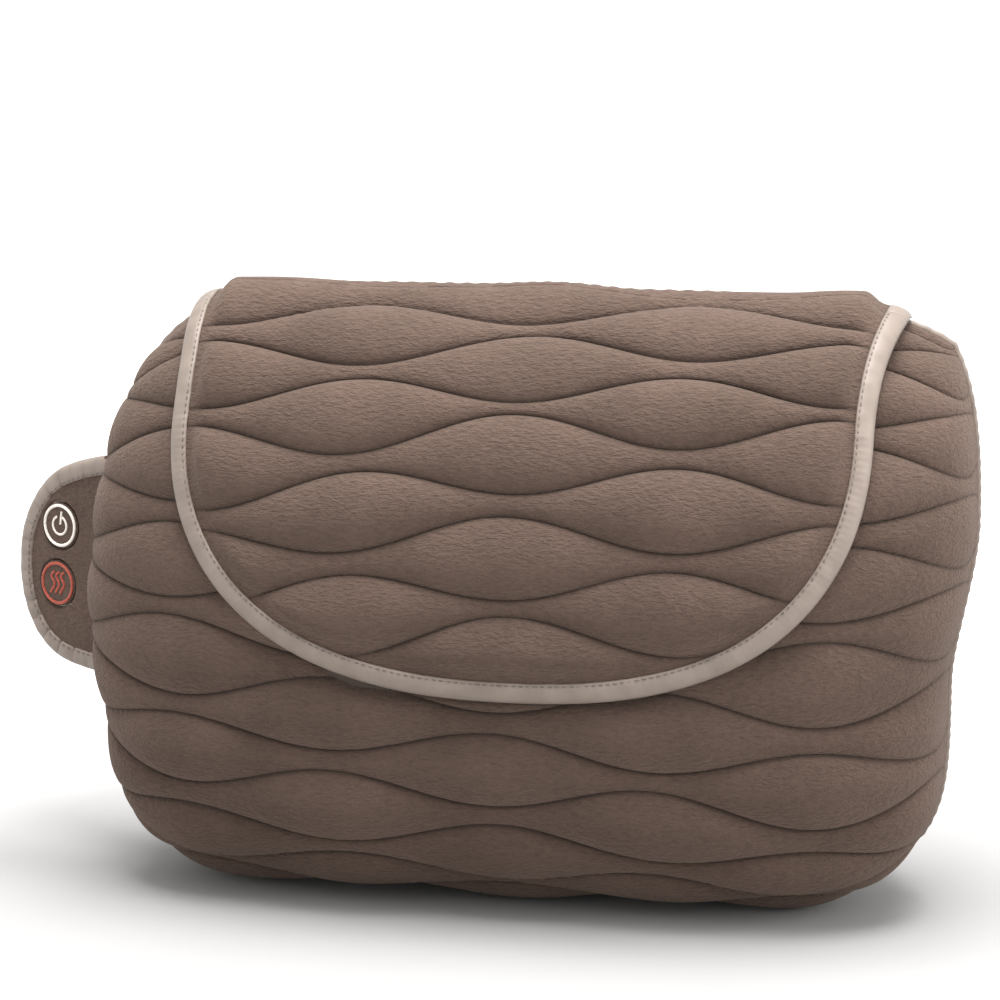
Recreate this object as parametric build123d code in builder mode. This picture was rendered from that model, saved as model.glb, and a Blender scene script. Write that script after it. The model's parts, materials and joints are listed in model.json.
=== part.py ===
"""Shiatsu massage pillow: a quilted, zipped cover over foam, with a four-node kneading drive inside.

Frame: millimetres, +Z up, front towards -Y, origin at the middle of the flat base the pillow stands on.
"""

from build123d import *

import os
from math import cos, degrees, pi, radians, sin, tan

# ---- pillow ----------------------------------------------------------------------------------------------
BODY_WIDTH = 380.0
BODY_WAIST_Z = 122.0  # height at which the pillow is widest
TOP_WIDTH = 358.0
BASE_WIDTH = 360.0
BODY_HEIGHT = 256.0
TOP_CROWN = 3.0  # the top line rises this much towards its middle
BODY_DEPTH = 150.0
FRONT_Y = -BODY_DEPTH / 2
BACK_Y = BODY_DEPTH / 2
TOP_CORNER = 62.0
BASE_CORNER = 60.0
FRONT_ROUND = 54.0
BACK_ROUND = 46.0
COVER_THICKNESS = 3.0
SEAM_Y = 6.0  # the front and back covers meet in this plane
FOAM_INSET = COVER_THICKNESS + 0.2

# ---- binding tape on the side seams ----------------------------------------------------------------------
TAPE_WIDTH = 7.0
TAPE_LIFT = 3.2  # how far the tape stands out of the side
TAPE_LEAN = 6.4  # how far it leans back
TAPE_BASE = 2.4
TAPE_EDGE = 1.7
TAPE_START = 0.36  # share of the base corner without tape, so that the pillow stands flat
TAPE_END = 0.9  # share of the top corner with tape

# ---- flap ------------------------------------------------------------------------------------------------
FLAP_GAP = 1.0
LINING_THICKNESS = 1.2
FLAP_THICKNESS = 7.0
FLAP_WIDTH = 304.0
FLAP_TIP_Z = 85.0
FLAP_CURVE_Z = 200.0  # the flap's lower edge is half an ellipse below this height
FLAP_OUTER = FLAP_GAP + FLAP_THICKNESS

# ---- massage drive ---------------------------------------------------------------------------------------
MODULE = 1.5
WORM_STARTS = 2
WHEEL_TEETH = 52
WHEEL_RADIUS = MODULE * WHEEL_TEETH / 2
WORM_RADIUS = 7.0
HEAD_X = WHEEL_RADIUS + WORM_RADIUS
HEAD_Z = 138.0
DRIVE_Y = -15.0  # depth of the worm's axis and of the wheels' middles
AXIAL_PITCH = pi * MODULE
WORM_LEAD = WORM_STARTS * AXIAL_PITCH
FACE_WIDTH = 8.0
FACE_TWIST = degrees(FACE_WIDTH * WORM_LEAD / (2 * pi * WORM_RADIUS) / WHEEL_RADIUS)
TOOTH_THICKNESS = 1.75  # on the pitch line, for wheel tooth and worm thread alike; the rest is backlash
FLANK = tan(radians(20))
ADDENDUM = 1.2
DEDENDUM = 1.9
WORM_LENGTH = 34.0
WORM_STEP_DEG = 20.0
HUB_RADIUS = 9.0
SHAFT_RADIUS = 4.0
SHAFT_BACK_Y = 10.5
SHAFT_FRONT_Y = -44.0
MOTOR_SHAFT_RADIUS = 2.5
RUNNING = 0.06  # radial clearance of a shaft in its bush
BUSH_RADIUS = 6.5

# ---- massage heads ---------------------------------------------------------------------------------------
NODE_ORBIT = 24.0
NODE_RADIUS = 16.0
NODE_BASE_Y = -49.0
TALL_TIP_Y = -68.0
SHORT_TIP_Y = -63.0
NODE_SHOULDER = 5.0
NODE_TIP_RADIUS = 2.0  # small flat at the tip
POST_RADIUS = 4.0
POST_TIP_Y = -58.5
ARM_BACK_Y = -40.0
ARM_FRONT_Y = -46.0

# ---- chassis ---------------------------------------------------------------------------------------------
CHASSIS_WIDTH = 186.0
CHASSIS_BOTTOM_Z = 44.0
CHASSIS_TOP_Z = 190.0
CHASSIS_FRONT_Y = -36.0
CHASSIS_BACK_Y = 14.0
CHASSIS_SPLIT_Y = -6.0
CHASSIS_WALL = 2.5
CHASSIS_CORNER = 12.0
CHASSIS_MIDDLE_Z = (CHASSIS_BOTTOM_Z + CHASSIS_TOP_Z) / 2
CHASSIS_HEIGHT = CHASSIS_TOP_Z - CHASSIS_BOTTOM_Z
INNER_FRONT_Y = CHASSIS_FRONT_Y + CHASSIS_WALL
INNER_BACK_Y = CHASSIS_BACK_Y - CHASSIS_WALL
SCREW_PLACES = [(-84.0, 53.0), (84.0, 53.0), (-84.0, 181.0), (84.0, 181.0), (0.0, 181.0)]
SCREW_POST = 4.5
SCREW_RADIUS = 1.4
SCREW_HEAD = 2.8
BRIDGE_BOTTOM_Z = 160.0  # the bridge carries the worm's upper bush
BRIDGE_TOP_Z = 168.0
WINDOW_WIDTH = 184.0
WINDOW_HEIGHT = 92.0

# ---- motor -----------------------------------------------------------------------------------------------
MOTOR_RADIUS = 17.8
MOTOR_BOTTOM_Z = 50.0
MOTOR_TOP_Z = 104.0
MOTOR_WALL = 1.8
BRACKET_TOP_Z = 106.0
BRACKET_HALF_WIDTH = 19.0

# ---- vibration unit --------------------------------------------------------------------------------------
BUZZER_AXIS = (-12.0, 68.0)  # Y and Z of its shaft
BUZZER_RADIUS = 12.0
BUZZER_LEFT_X = -78.0
BUZZER_RIGHT_X = -48.0
WEIGHT_RADIUS = 9.0

# ---- electronics -----------------------------------------------------------------------------------------
BOARD_Y = 3.0
BOARD_THICKNESS = 1.6
BOARD_X = (24.0, 76.0)
BOARD_Z = (52.0, 92.0)
LAMP_OFFSET = 30.0

# ---- control tab -----------------------------------------------------------------------------------------
TAB_LEAN_DEG = 25.0
TAB_Z = 130.0
TAB_ROOT = 4.0
TAB_TOP = 51.5
TAB_BOTTOM = -47.5
TAB_CORNERS = [(37.0, 41.0), (55.5, 12.0), (55.5, -20.0), (42.0, -43.5)]  # out from the seam, and up
TAB_ROUND = 24.0
TAB_BINDING = 8.0
TAB_THICKNESS = 6.0
BUTTON_RADIUS = 10.2
BUTTON_GAP = 0.35
POWER_MARK = (28.0, 17.7)  # along the tab, up from its middle
HEAT_MARK = (30.2, -8.7)
MARK_RADIUS = 9.7
MARK_STROKE = 1.6
MARK_LIFT = 0.4
BOARD_PLACE = (28.5, 4.5)
BOARD_SIZE = (14.0, 42.0)
CABLE_THICKNESS = 1.4
CABLE_WIDTH = 7.0

# ---- zip and power inlet ---------------------------------------------------------------------------------
ZIP_Z = 62.0
ZIP_LENGTH = 230.0
ZIP_SLOT = 8.0
SLIDER_X = 100.0
INLET_X = 122.0
INLET_Z = 100.0
INLET_BORE = 2.75
LEAD_RADIUS = 1.5


def facing_front(y):
    """Drawing plane at depth y: X to the right, Z up, extruding towards the front."""
    return Plane.XZ.offset(-y)


def save(part, name):
    """Label a finished piece and write it."""
    part.label = name
    export_step(part, f"parts/{name}.step")
    print(f"{name}: {len(part.solids())} solid(s), {part.volume / 1000:.2f} cm3")


def box_between(low, high):
    """A plain block from its lowest to its highest corner."""
    size = [upper - lower for lower, upper in zip(low, high)]
    middle = tuple((upper + lower) / 2 for lower, upper in zip(low, high))
    with BuildPart() as block:
        with Locations(middle):
            Box(*size)
    return block.part


def rod_along_y(x, z, radius, back_y, front_y):
    """A round rod along Y, from a back depth to a front depth."""
    with BuildPart() as rod:
        with BuildSketch(facing_front(back_y)):
            with Locations((x, z)):
                Circle(radius)
        extrude(amount=back_y - front_y)
    return rod.part


os.makedirs("parts", exist_ok=True)


# ---- pillow forms ----------------------------------------------------------------------------------------
def outline_face(inset, y):
    """The pillow seen from the front, drawn in by an inset, at depth y."""
    half_base, half_top, top_z = BASE_WIDTH / 2, TOP_WIDTH / 2, BODY_HEIGHT - TOP_CROWN
    with BuildSketch(facing_front(y)) as sketch:
        with BuildLine():
            Line((-half_base, 0), (half_base, 0))
            ThreePointArc((half_base, 0), (BODY_WIDTH / 2, BODY_WAIST_Z), (half_top, top_z))
            ThreePointArc((half_top, top_z), (0, BODY_HEIGHT), (-half_top, top_z))
            ThreePointArc((-half_top, top_z), (-BODY_WIDTH / 2, BODY_WAIST_Z), (-half_base, 0))
        make_face()
        fillet(sketch.vertices().sort_by(Axis.Y)[:2], BASE_CORNER)
        fillet(sketch.vertices().sort_by(Axis.Y)[-2:], TOP_CORNER)
        if inset:
            offset(amount=-inset, mode=Mode.REPLACE)
    return sketch.sketch


def pillow_form(inset):
    """Closed form of the stuffed pillow, drawn in by an inset all round."""
    with BuildPart() as form:
        extrude(outline_face(inset, BACK_Y - inset), amount=BODY_DEPTH - 2 * inset)
        fillet(form.faces().sort_by(Axis.Y)[0].edges(), FRONT_ROUND - inset)
        fillet(form.faces().sort_by(Axis.Y)[-1].edges(), BACK_ROUND - inset)
    return form.part


def window_face(y):
    """The rounded window that the massage nodes press through, at depth y."""
    with BuildSketch(facing_front(y)) as sketch:
        with Locations((0, HEAD_Z)):
            RectangleRounded(WINDOW_WIDTH, WINDOW_HEIGHT, WINDOW_HEIGHT / 2 - 1)
    return sketch.sketch


def chassis_block(growth, back_y, front_y):
    """Block of the chassis's outline, grown or shrunk, between two depths."""
    with BuildPart() as block:
        with BuildSketch(facing_front(back_y)):
            with Locations((0, CHASSIS_MIDDLE_Z)):
                RectangleRounded(
                    CHASSIS_WIDTH + 2 * growth, CHASSIS_HEIGHT + 2 * growth, CHASSIS_CORNER + growth
                )
        extrude(amount=back_y - front_y)
    return block.part


def lead_tube(radius):
    """A tube along the inlet's lead, from the socket's back to the chassis's side."""
    with BuildPart() as tube:
        with BuildLine() as path:
            FilletPolyline(
                (INLET_X, BACK_Y - 17, INLET_Z),
                (INLET_X, 1, INLET_Z),
                (CHASSIS_WIDTH / 2, 1, INLET_Z),
                radius=13,
            )
        with BuildSketch(Plane(origin=path.line @ 0, z_dir=path.line % 0)):
            Circle(radius)
        sweep(path=path.line)
    return tube.part


def tab_cable_block(growth, left_x):
    """The flat cable between the chassis and the control tab, grown by a clearance."""
    thick = CABLE_THICKNESS / 2 + growth
    wide = CABLE_WIDTH / 2 + growth
    return box_between(
        (left_x, SEAM_Y - thick, TAB_Z - wide), (-CHASSIS_WIDTH / 2, SEAM_Y + thick, TAB_Z + wide)
    )


outer_form = pillow_form(0)
inner_form = pillow_form(COVER_THICKNESS)
foam_form = pillow_form(FOAM_INSET)
before_seam = box_between((-300, -200, -50), (300, SEAM_Y, 400))
behind_seam = box_between((-300, SEAM_Y, -50), (300, 200, 400))
cable_slot = tab_cable_block(0.3, -200)

# ---- covers and node screen ------------------------------------------------------------------------------
with BuildPart() as front_cover:
    add(outer_form)
    add(inner_form, mode=Mode.SUBTRACT)
    add(before_seam, mode=Mode.INTERSECT)
    extrude(window_face(FRONT_Y + 10), amount=20, mode=Mode.SUBTRACT)
    add(cable_slot, mode=Mode.SUBTRACT)
save(front_cover.part, "front_cover")

with BuildPart() as back_cover:
    add(outer_form)
    add(inner_form, mode=Mode.SUBTRACT)
    add(behind_seam, mode=Mode.INTERSECT)
    with BuildSketch(facing_front(BACK_Y + 5)):
        with Locations((0, ZIP_Z)):
            Rectangle(ZIP_LENGTH, ZIP_SLOT)
        with Locations((INLET_X, INLET_Z)):
            Circle(9)
    extrude(amount=15, mode=Mode.SUBTRACT)
    add(cable_slot, mode=Mode.SUBTRACT)
save(back_cover.part, "back_cover")

with BuildPart() as node_screen:
    extrude(window_face(FRONT_Y + 2.6), amount=1.2)
save(node_screen.part, "node_screen")

# ---- foam, in two halves round the chassis ---------------------------------------------------------------
chassis_room = chassis_block(0.3, CHASSIS_BACK_Y + 0.3, CHASSIS_FRONT_Y - 0.3)
lead_room = lead_tube(LEAD_RADIUS + 0.4)

with BuildPart() as front_foam:
    add(foam_form)
    add(before_seam, mode=Mode.INTERSECT)
    add(chassis_room, mode=Mode.SUBTRACT)
    add(cable_slot, mode=Mode.SUBTRACT)
    add(lead_room, mode=Mode.SUBTRACT)
    extrude(window_face(CHASSIS_FRONT_Y + 1), amount=60, mode=Mode.SUBTRACT)
save(front_foam.part, "front_foam")

with BuildPart() as rear_foam:
    add(foam_form)
    add(behind_seam, mode=Mode.INTERSECT)
    add(chassis_room, mode=Mode.SUBTRACT)
    add(cable_slot, mode=Mode.SUBTRACT)
    add(lead_room, mode=Mode.SUBTRACT)
    with BuildSketch(facing_front(BACK_Y)):
        with Locations((0, ZIP_Z)):
            Rectangle(ZIP_LENGTH + 12, ZIP_SLOT + 20)
    extrude(amount=5, mode=Mode.SUBTRACT)
    with BuildSketch(facing_front(BACK_Y)):
        with Locations((INLET_X, INLET_Z)):
            Circle(12.3)
    extrude(amount=17.5, mode=Mode.SUBTRACT)
save(rear_foam.part, "rear_foam")


# ---- bound side seams ------------------------------------------------------------------------------------
def right_seam():
    """The right-hand seam line, from low on the base corner, up the side and round the top corner."""
    edges = outline_face(0, SEAM_Y).face().outer_wire().edges()
    base, side, top = edges.filter_by(lambda edge: (edge @ 0.5).X > BODY_WIDTH / 4).sort_by(Axis.Z)
    if (base @ 0).Z > (base @ 1).Z:
        base = base.reversed()
    if (top @ 0).Z > (top @ 1).Z:
        top = top.reversed()
    return Wire([base.trim(TAPE_START, 1), side, top.trim(0, TAPE_END)])


seam_line = right_seam()
seam_start = seam_line @ 0
seam_along = seam_line % 0
seam_outward = Vector(seam_along.Z, 0, -seam_along.X)

with BuildPart() as edge_binding_right:
    with BuildSketch(Plane(origin=seam_start, x_dir=seam_outward, z_dir=seam_along)):
        with BuildLine():
            Polyline(
                (0, 0),
                (TAPE_LIFT, TAPE_LEAN - 1.2),
                (TAPE_LIFT - TAPE_EDGE, TAPE_LEAN),
                (0, TAPE_BASE),
                close=True,
            )
        make_face()
    sweep(path=seam_line)
save(edge_binding_right.part, "edge_binding_right")

tab_break = box_between((-220, -10, TAB_Z - 55), (-150, 30, TAB_Z + 55))
left_tape = edge_binding_right.part.mirror(Plane.YZ)

with BuildPart() as edge_binding_left:
    add(left_tape)
    add(tab_break, mode=Mode.SUBTRACT)
save(edge_binding_left.part, "edge_binding_left")

# ---- flap ------------------------------------------------------------------------------------------------
BEND_Y = FRONT_Y + FRONT_ROUND  # middle of the bend, where the top turns into the front
BEND_Z = BODY_HEIGHT - FRONT_ROUND


def flap_layer(near, far):
    """One layer of the flap between two heights above the cover: along the top, round the bend and down."""
    low_z = FLAP_TIP_Z - 5
    near_mid = ((FRONT_ROUND + near) * cos(pi / 4), (FRONT_ROUND + near) * sin(pi / 4))
    far_mid = ((FRONT_ROUND + far) * cos(pi / 4), (FRONT_ROUND + far) * sin(pi / 4))
    with BuildPart() as layer:
        with BuildSketch(Plane.YZ):
            with BuildLine():
                Line((SEAM_Y, BODY_HEIGHT + near), (BEND_Y, BODY_HEIGHT + near))
                ThreePointArc(
                    (BEND_Y, BODY_HEIGHT + near),
                    (BEND_Y - near_mid[0], BEND_Z + near_mid[1]),
                    (FRONT_Y - near, BEND_Z),
                )
                Line((FRONT_Y - near, BEND_Z), (FRONT_Y - near, low_z))
                Line((FRONT_Y - near, low_z), (FRONT_Y - far, low_z))
                Line((FRONT_Y - far, low_z), (FRONT_Y - far, BEND_Z))
                ThreePointArc(
                    (FRONT_Y - far, BEND_Z),
                    (BEND_Y - far_mid[0], BEND_Z + far_mid[1]),
                    (BEND_Y, BODY_HEIGHT + far),
                )
                Line((BEND_Y, BODY_HEIGHT + far), (SEAM_Y, BODY_HEIGHT + far))
                Line((SEAM_Y, BODY_HEIGHT + far), (SEAM_Y, BODY_HEIGHT + near))
            make_face()
        extrude(amount=FLAP_WIDTH, both=True)
    return layer.part


def flap_prism(inset):
    """The flap's outline seen from the front, drawn in by an inset, as a deep prism."""
    with BuildPart() as prism:
        with BuildSketch(facing_front(100)):
            with Locations((0, FLAP_CURVE_Z)):
                Ellipse(FLAP_WIDTH / 2 - inset, FLAP_CURVE_Z - FLAP_TIP_Z - inset)
            with Locations((0, FLAP_CURVE_Z + 60)):
                Rectangle(FLAP_WIDTH - 2 * inset, 120)
        extrude(amount=300)
    return prism.part


def fold_side(reach):
    """Everything on one side of the plane in which the flap folds: above it for a positive reach."""
    with BuildPart() as side:
        with BuildSketch(Plane(origin=(0, BEND_Y, BEND_Z), x_dir=(1, 0, 0), z_dir=(0, 1, 1))):
            Rectangle(800, 800)
        extrude(amount=reach)
    return side.part


flap_panel = flap_layer(FLAP_GAP + LINING_THICKNESS, FLAP_OUTER)
flap_lining = flap_layer(FLAP_GAP, FLAP_GAP + LINING_THICKNESS)
flap_whole = flap_layer(FLAP_GAP, FLAP_OUTER)
flap_outline = flap_prism(0)
flap_inside = flap_prism(TAPE_WIDTH)

for position, reach in (("top", 400), ("front", -400)):
    fold_half = fold_side(reach)
    for layer_name, layer in (("panel", flap_panel), ("lining", flap_lining)):
        with BuildPart() as flap_piece:
            add(layer)
            add(flap_inside, mode=Mode.INTERSECT)
            add(fold_half, mode=Mode.INTERSECT)
        save(flap_piece.part, f"flap_{position}_{layer_name}")
    with BuildPart() as flap_binding:
        add(flap_whole)
        add(flap_outline, mode=Mode.INTERSECT)
        add(flap_inside, mode=Mode.SUBTRACT)
        add(fold_half, mode=Mode.INTERSECT)
    save(flap_binding.part, f"flap_{position}_binding")

# ---- control tab -----------------------------------------------------------------------------------------
TAB_OUT = Vector(-cos(radians(TAB_LEAN_DEG)), sin(radians(TAB_LEAN_DEG)), 0)
TAB_BACK = Vector(sin(radians(TAB_LEAN_DEG)), cos(radians(TAB_LEAN_DEG)), 0)
TAB_HINGE = Vector(-BODY_WIDTH / 2, SEAM_Y, TAB_Z)
TAB_FACE = -TAB_THICKNESS / 2
TAB_REAR = TAB_THICKNESS / 2
CLOTH = 1.4


def tab_plane(depth):
    """Drawing plane in the tab: x out along it, y up, extruding backwards; depth 0 is its middle."""
    return Plane(origin=TAB_HINGE + TAB_BACK * depth, x_dir=TAB_OUT, z_dir=TAB_BACK)


def tab_outline(inset):
    """The tab's D shape: straight at the seam, sloping at the top and rounder below."""
    with BuildSketch() as sketch:
        with BuildLine():
            Polyline((TAB_ROOT, TAB_TOP), *TAB_CORNERS, (TAB_ROOT, TAB_BOTTOM), close=True)
        make_face()
        fillet(sketch.vertices().filter_by(lambda vertex: vertex.X > TAB_ROOT + 1), TAB_ROUND)
        if inset:
            offset(amount=-inset, mode=Mode.REPLACE)
    return sketch.sketch


with BuildPart() as tab_binding:
    with BuildSketch(tab_plane(TAB_FACE)):
        add(tab_outline(0))
        add(tab_outline(TAB_BINDING), mode=Mode.SUBTRACT)
    extrude(amount=TAB_THICKNESS)
save(tab_binding.part, "tab_binding")

with BuildPart() as tab_front_fabric:
    with BuildSketch(tab_plane(TAB_FACE)):
        add(tab_outline(TAB_BINDING))
        with Locations(POWER_MARK, HEAT_MARK):
            Circle(BUTTON_RADIUS + BUTTON_GAP, mode=Mode.SUBTRACT)
    extrude(amount=CLOTH)
save(tab_front_fabric.part, "tab_front_fabric")

with BuildPart() as tab_back_fabric:
    with BuildSketch(tab_plane(TAB_REAR - CLOTH)):
        add(tab_outline(TAB_BINDING))
    extrude(amount=CLOTH)
save(tab_back_fabric.part, "tab_back_fabric")

with BuildPart() as tab_padding:
    with BuildSketch(tab_plane(TAB_FACE + CLOTH)):
        add(tab_outline(TAB_BINDING))
        with Locations(BOARD_PLACE):
            Rectangle(BOARD_SIZE[0], BOARD_SIZE[1], mode=Mode.SUBTRACT)
        with Locations(POWER_MARK, HEAT_MARK):
            Circle(BUTTON_RADIUS + BUTTON_GAP, mode=Mode.SUBTRACT)
    extrude(amount=TAB_THICKNESS - 2 * CLOTH)
save(tab_padding.part, "tab_padding")

with BuildPart() as tab_board:
    with BuildSketch(tab_plane(TAB_REAR - CLOTH - 1.0)):
        with Locations(BOARD_PLACE):
            RectangleRounded(*BOARD_SIZE, 2)
    extrude(amount=1.0)
save(tab_board.part, "tab_board")

with BuildPart() as tab_switches:
    with BuildSketch(tab_plane(TAB_REAR - CLOTH - 1.7)):
        with Locations(POWER_MARK, HEAT_MARK):
            RectangleRounded(6, 6, 0.8)
    extrude(amount=0.7)
save(tab_switches.part, "tab_switches")

for button, mark in (("power", POWER_MARK), ("heat", HEAT_MARK)):
    with BuildPart() as button_disc:
        with BuildSketch(tab_plane(TAB_FACE - 0.2)):
            with Locations(mark):
                Circle(BUTTON_RADIUS)
        extrude(amount=1.3)
        with BuildSketch(tab_plane(TAB_FACE + 1.1)):
            with Locations(mark):
                Circle(2)
        extrude(amount=1.1)
    save(button_disc.part, f"{button}_button")

with BuildPart() as power_mark:
    with BuildSketch(tab_plane(TAB_FACE - 0.2 - MARK_LIFT)):
        with Locations(POWER_MARK):
            Circle(MARK_RADIUS)
            Circle(MARK_RADIUS - MARK_STROKE, mode=Mode.SUBTRACT)
            Circle(4.3)
            Circle(3.1, mode=Mode.SUBTRACT)
        with Locations((POWER_MARK[0], POWER_MARK[1] + 4.2)):
            Rectangle(3.6, 3.4, mode=Mode.SUBTRACT)
            Rectangle(1.1, 4.4)
    extrude(amount=MARK_LIFT)
save(power_mark.part, "power_mark")

with BuildPart() as heat_mark:
    with BuildSketch(tab_plane(TAB_FACE - 0.2 - MARK_LIFT)):
        with Locations(HEAT_MARK):
            Circle(MARK_RADIUS)
            Circle(MARK_RADIUS - MARK_STROKE, mode=Mode.SUBTRACT)
            with GridLocations(3.1, 0, 3, 1):
                SlotOverall(9, 1.4, rotation=90)
    extrude(amount=MARK_LIFT)
save(heat_mark.part, "heat_mark")

with BuildPart() as tab_cable:
    add(tab_cable_block(0, TAB_HINGE.X - 1.5))
save(tab_cable.part, "tab_cable")

# ---- zip -------------------------------------------------------------------------------------------------
TAPE_INNER_Y = BACK_Y - COVER_THICKNESS - 0.8
COIL_BACK_Y = BACK_Y - COVER_THICKNESS
COIL_FACE_Y = COIL_BACK_Y + 2.0
SLIDER_FACE_Y = COIL_FACE_Y + 1.8
PULL_PIN_Y = SLIDER_FACE_Y + 1.3

with BuildPart() as zipper_tapes:
    with BuildSketch(facing_front(COIL_BACK_Y)):
        with Locations((0, ZIP_Z)):
            with GridLocations(0, 13, 1, 2):
                Rectangle(ZIP_LENGTH + 8, 12)
    extrude(amount=COIL_BACK_Y - TAPE_INNER_Y)
save(zipper_tapes.part, "zipper_tapes")

with BuildPart() as zipper_coils:
    with BuildSketch(facing_front(COIL_FACE_Y)):
        with Locations((0, ZIP_Z)):
            with GridLocations(0, 2.5, 1, 2):
                Rectangle(ZIP_LENGTH - 8, 2.1)
            with GridLocations(ZIP_LENGTH - 3.5, 0, 2, 1):
                Rectangle(2.5, 5.5)
    extrude(amount=COIL_FACE_Y - COIL_BACK_Y)
save(zipper_coils.part, "zipper_coils")

with BuildPart() as zipper_slider:
    with BuildSketch(facing_front(SLIDER_FACE_Y)):
        with Locations((SLIDER_X, ZIP_Z)):
            RectangleRounded(11, 7.2, 1.5)
    extrude(amount=SLIDER_FACE_Y - COIL_BACK_Y - 0.3)
    with BuildSketch(facing_front(COIL_FACE_Y + 0.4)):
        with Locations((SLIDER_X, ZIP_Z)):
            Rectangle(20, 5.4)
    extrude(amount=10, mode=Mode.SUBTRACT)
    with BuildSketch(Plane.XY.offset(ZIP_Z - 1)):
        with BuildLine():
            Polyline(
                (SLIDER_X - 4.5, SLIDER_FACE_Y),
                (SLIDER_X - 4.5, PULL_PIN_Y + 1.5),
                (SLIDER_X - 3.7, PULL_PIN_Y + 2.3),
                (SLIDER_X + 3.7, PULL_PIN_Y + 2.3),
                (SLIDER_X + 4.5, PULL_PIN_Y + 1.5),
                (SLIDER_X + 4.5, SLIDER_FACE_Y),
                (SLIDER_X + 3.2, SLIDER_FACE_Y),
                (SLIDER_X + 3.2, PULL_PIN_Y + 1.3),
                (SLIDER_X - 3.2, PULL_PIN_Y + 1.3),
                (SLIDER_X - 3.2, SLIDER_FACE_Y),
                close=True,
            )
        make_face()
    extrude(amount=2)
save(zipper_slider.part, "zipper_slider")

with BuildPart() as zipper_pull:
    with BuildSketch(facing_front(PULL_PIN_Y + 0.6)):
        with Locations((SLIDER_X - 15.4, ZIP_Z)):
            RectangleRounded(32, 7, 2.0)
        with Locations((SLIDER_X - 4.3, ZIP_Z)):
            RectangleRounded(7.4, 4, 1.0, mode=Mode.SUBTRACT)
        with Locations((SLIDER_X - 26, ZIP_Z)):
            SlotOverall(6, 2.4, rotation=90, mode=Mode.SUBTRACT)
    extrude(amount=1.2)
    with BuildSketch(Plane.XY.offset(ZIP_Z - 3)):
        with Locations((SLIDER_X, PULL_PIN_Y)):
            Circle(0.6)
    extrude(amount=6)
save(zipper_pull.part, "zipper_pull")

# ---- power inlet -----------------------------------------------------------------------------------------
SOCKET_BACK_Y = BACK_Y - 17
SOCKET_FACE_Y = BACK_Y + 1.2

with BuildPart() as jack_grommet:
    add(rod_along_y(INLET_X, INLET_Z, 12, BACK_Y + 1.5, BACK_Y))
    add(rod_along_y(INLET_X, INLET_Z, 9, BACK_Y, BACK_Y - COVER_THICKNESS))
    add(rod_along_y(INLET_X, INLET_Z, 12, BACK_Y - COVER_THICKNESS, BACK_Y - COVER_THICKNESS - 1.4))
    fillet(jack_grommet.faces().sort_by(Axis.Y)[-1].edges(), 1.0)
    add(rod_along_y(INLET_X, INLET_Z, 5, BACK_Y + 5, BACK_Y - 8), mode=Mode.SUBTRACT)
save(jack_grommet.part, "jack_grommet")

with BuildPart() as jack_socket:
    add(rod_along_y(INLET_X, INLET_Z, 5, SOCKET_FACE_Y, SOCKET_BACK_Y + 4))
    add(box_between((INLET_X - 6, SOCKET_BACK_Y, INLET_Z - 6), (INLET_X + 6, SOCKET_BACK_Y + 4, INLET_Z + 6)))
    add(rod_along_y(INLET_X, INLET_Z, INLET_BORE, SOCKET_FACE_Y, SOCKET_BACK_Y + 5), mode=Mode.SUBTRACT)
    add(rod_along_y(INLET_X, INLET_Z, 0.7, SOCKET_FACE_Y - 3, SOCKET_BACK_Y + 5))
save(jack_socket.part, "jack_socket")

with BuildPart() as jack_lead:
    add(lead_tube(LEAD_RADIUS))
save(jack_lead.part, "jack_lead")

# ---- chassis ---------------------------------------------------------------------------------------------
motor_axis = (0.0, DRIVE_Y)
head_places = [(-HEAD_X, HEAD_Z), (HEAD_X, HEAD_Z)]
chassis_core = chassis_block(-CHASSIS_WALL, INNER_BACK_Y, INNER_FRONT_Y)

with BuildPart() as chassis_front:
    add(chassis_block(0, CHASSIS_SPLIT_Y, CHASSIS_FRONT_Y))
    fillet(chassis_front.faces().sort_by(Axis.Y)[0].edges(), 1.2)
    add(chassis_core, mode=Mode.SUBTRACT)
    with BuildSketch(facing_front(INNER_FRONT_Y + 9.5)):
        with Locations(*head_places):
            Circle(HUB_RADIUS)
    extrude(amount=9.5)
    with BuildSketch(facing_front(CHASSIS_SPLIT_Y)):
        with Locations(*SCREW_PLACES):
            Circle(SCREW_POST)
    extrude(amount=CHASSIS_SPLIT_Y - INNER_FRONT_Y)
    with BuildSketch(facing_front(CHASSIS_SPLIT_Y)):
        with Locations(*SCREW_PLACES):
            Circle(SCREW_RADIUS)
    extrude(amount=12, mode=Mode.SUBTRACT)
    with BuildSketch(facing_front(INNER_FRONT_Y + 12)):
        with Locations(*head_places):
            Circle(BUSH_RADIUS)
    extrude(amount=30, mode=Mode.SUBTRACT)
save(chassis_front.part, "chassis_front")

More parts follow.
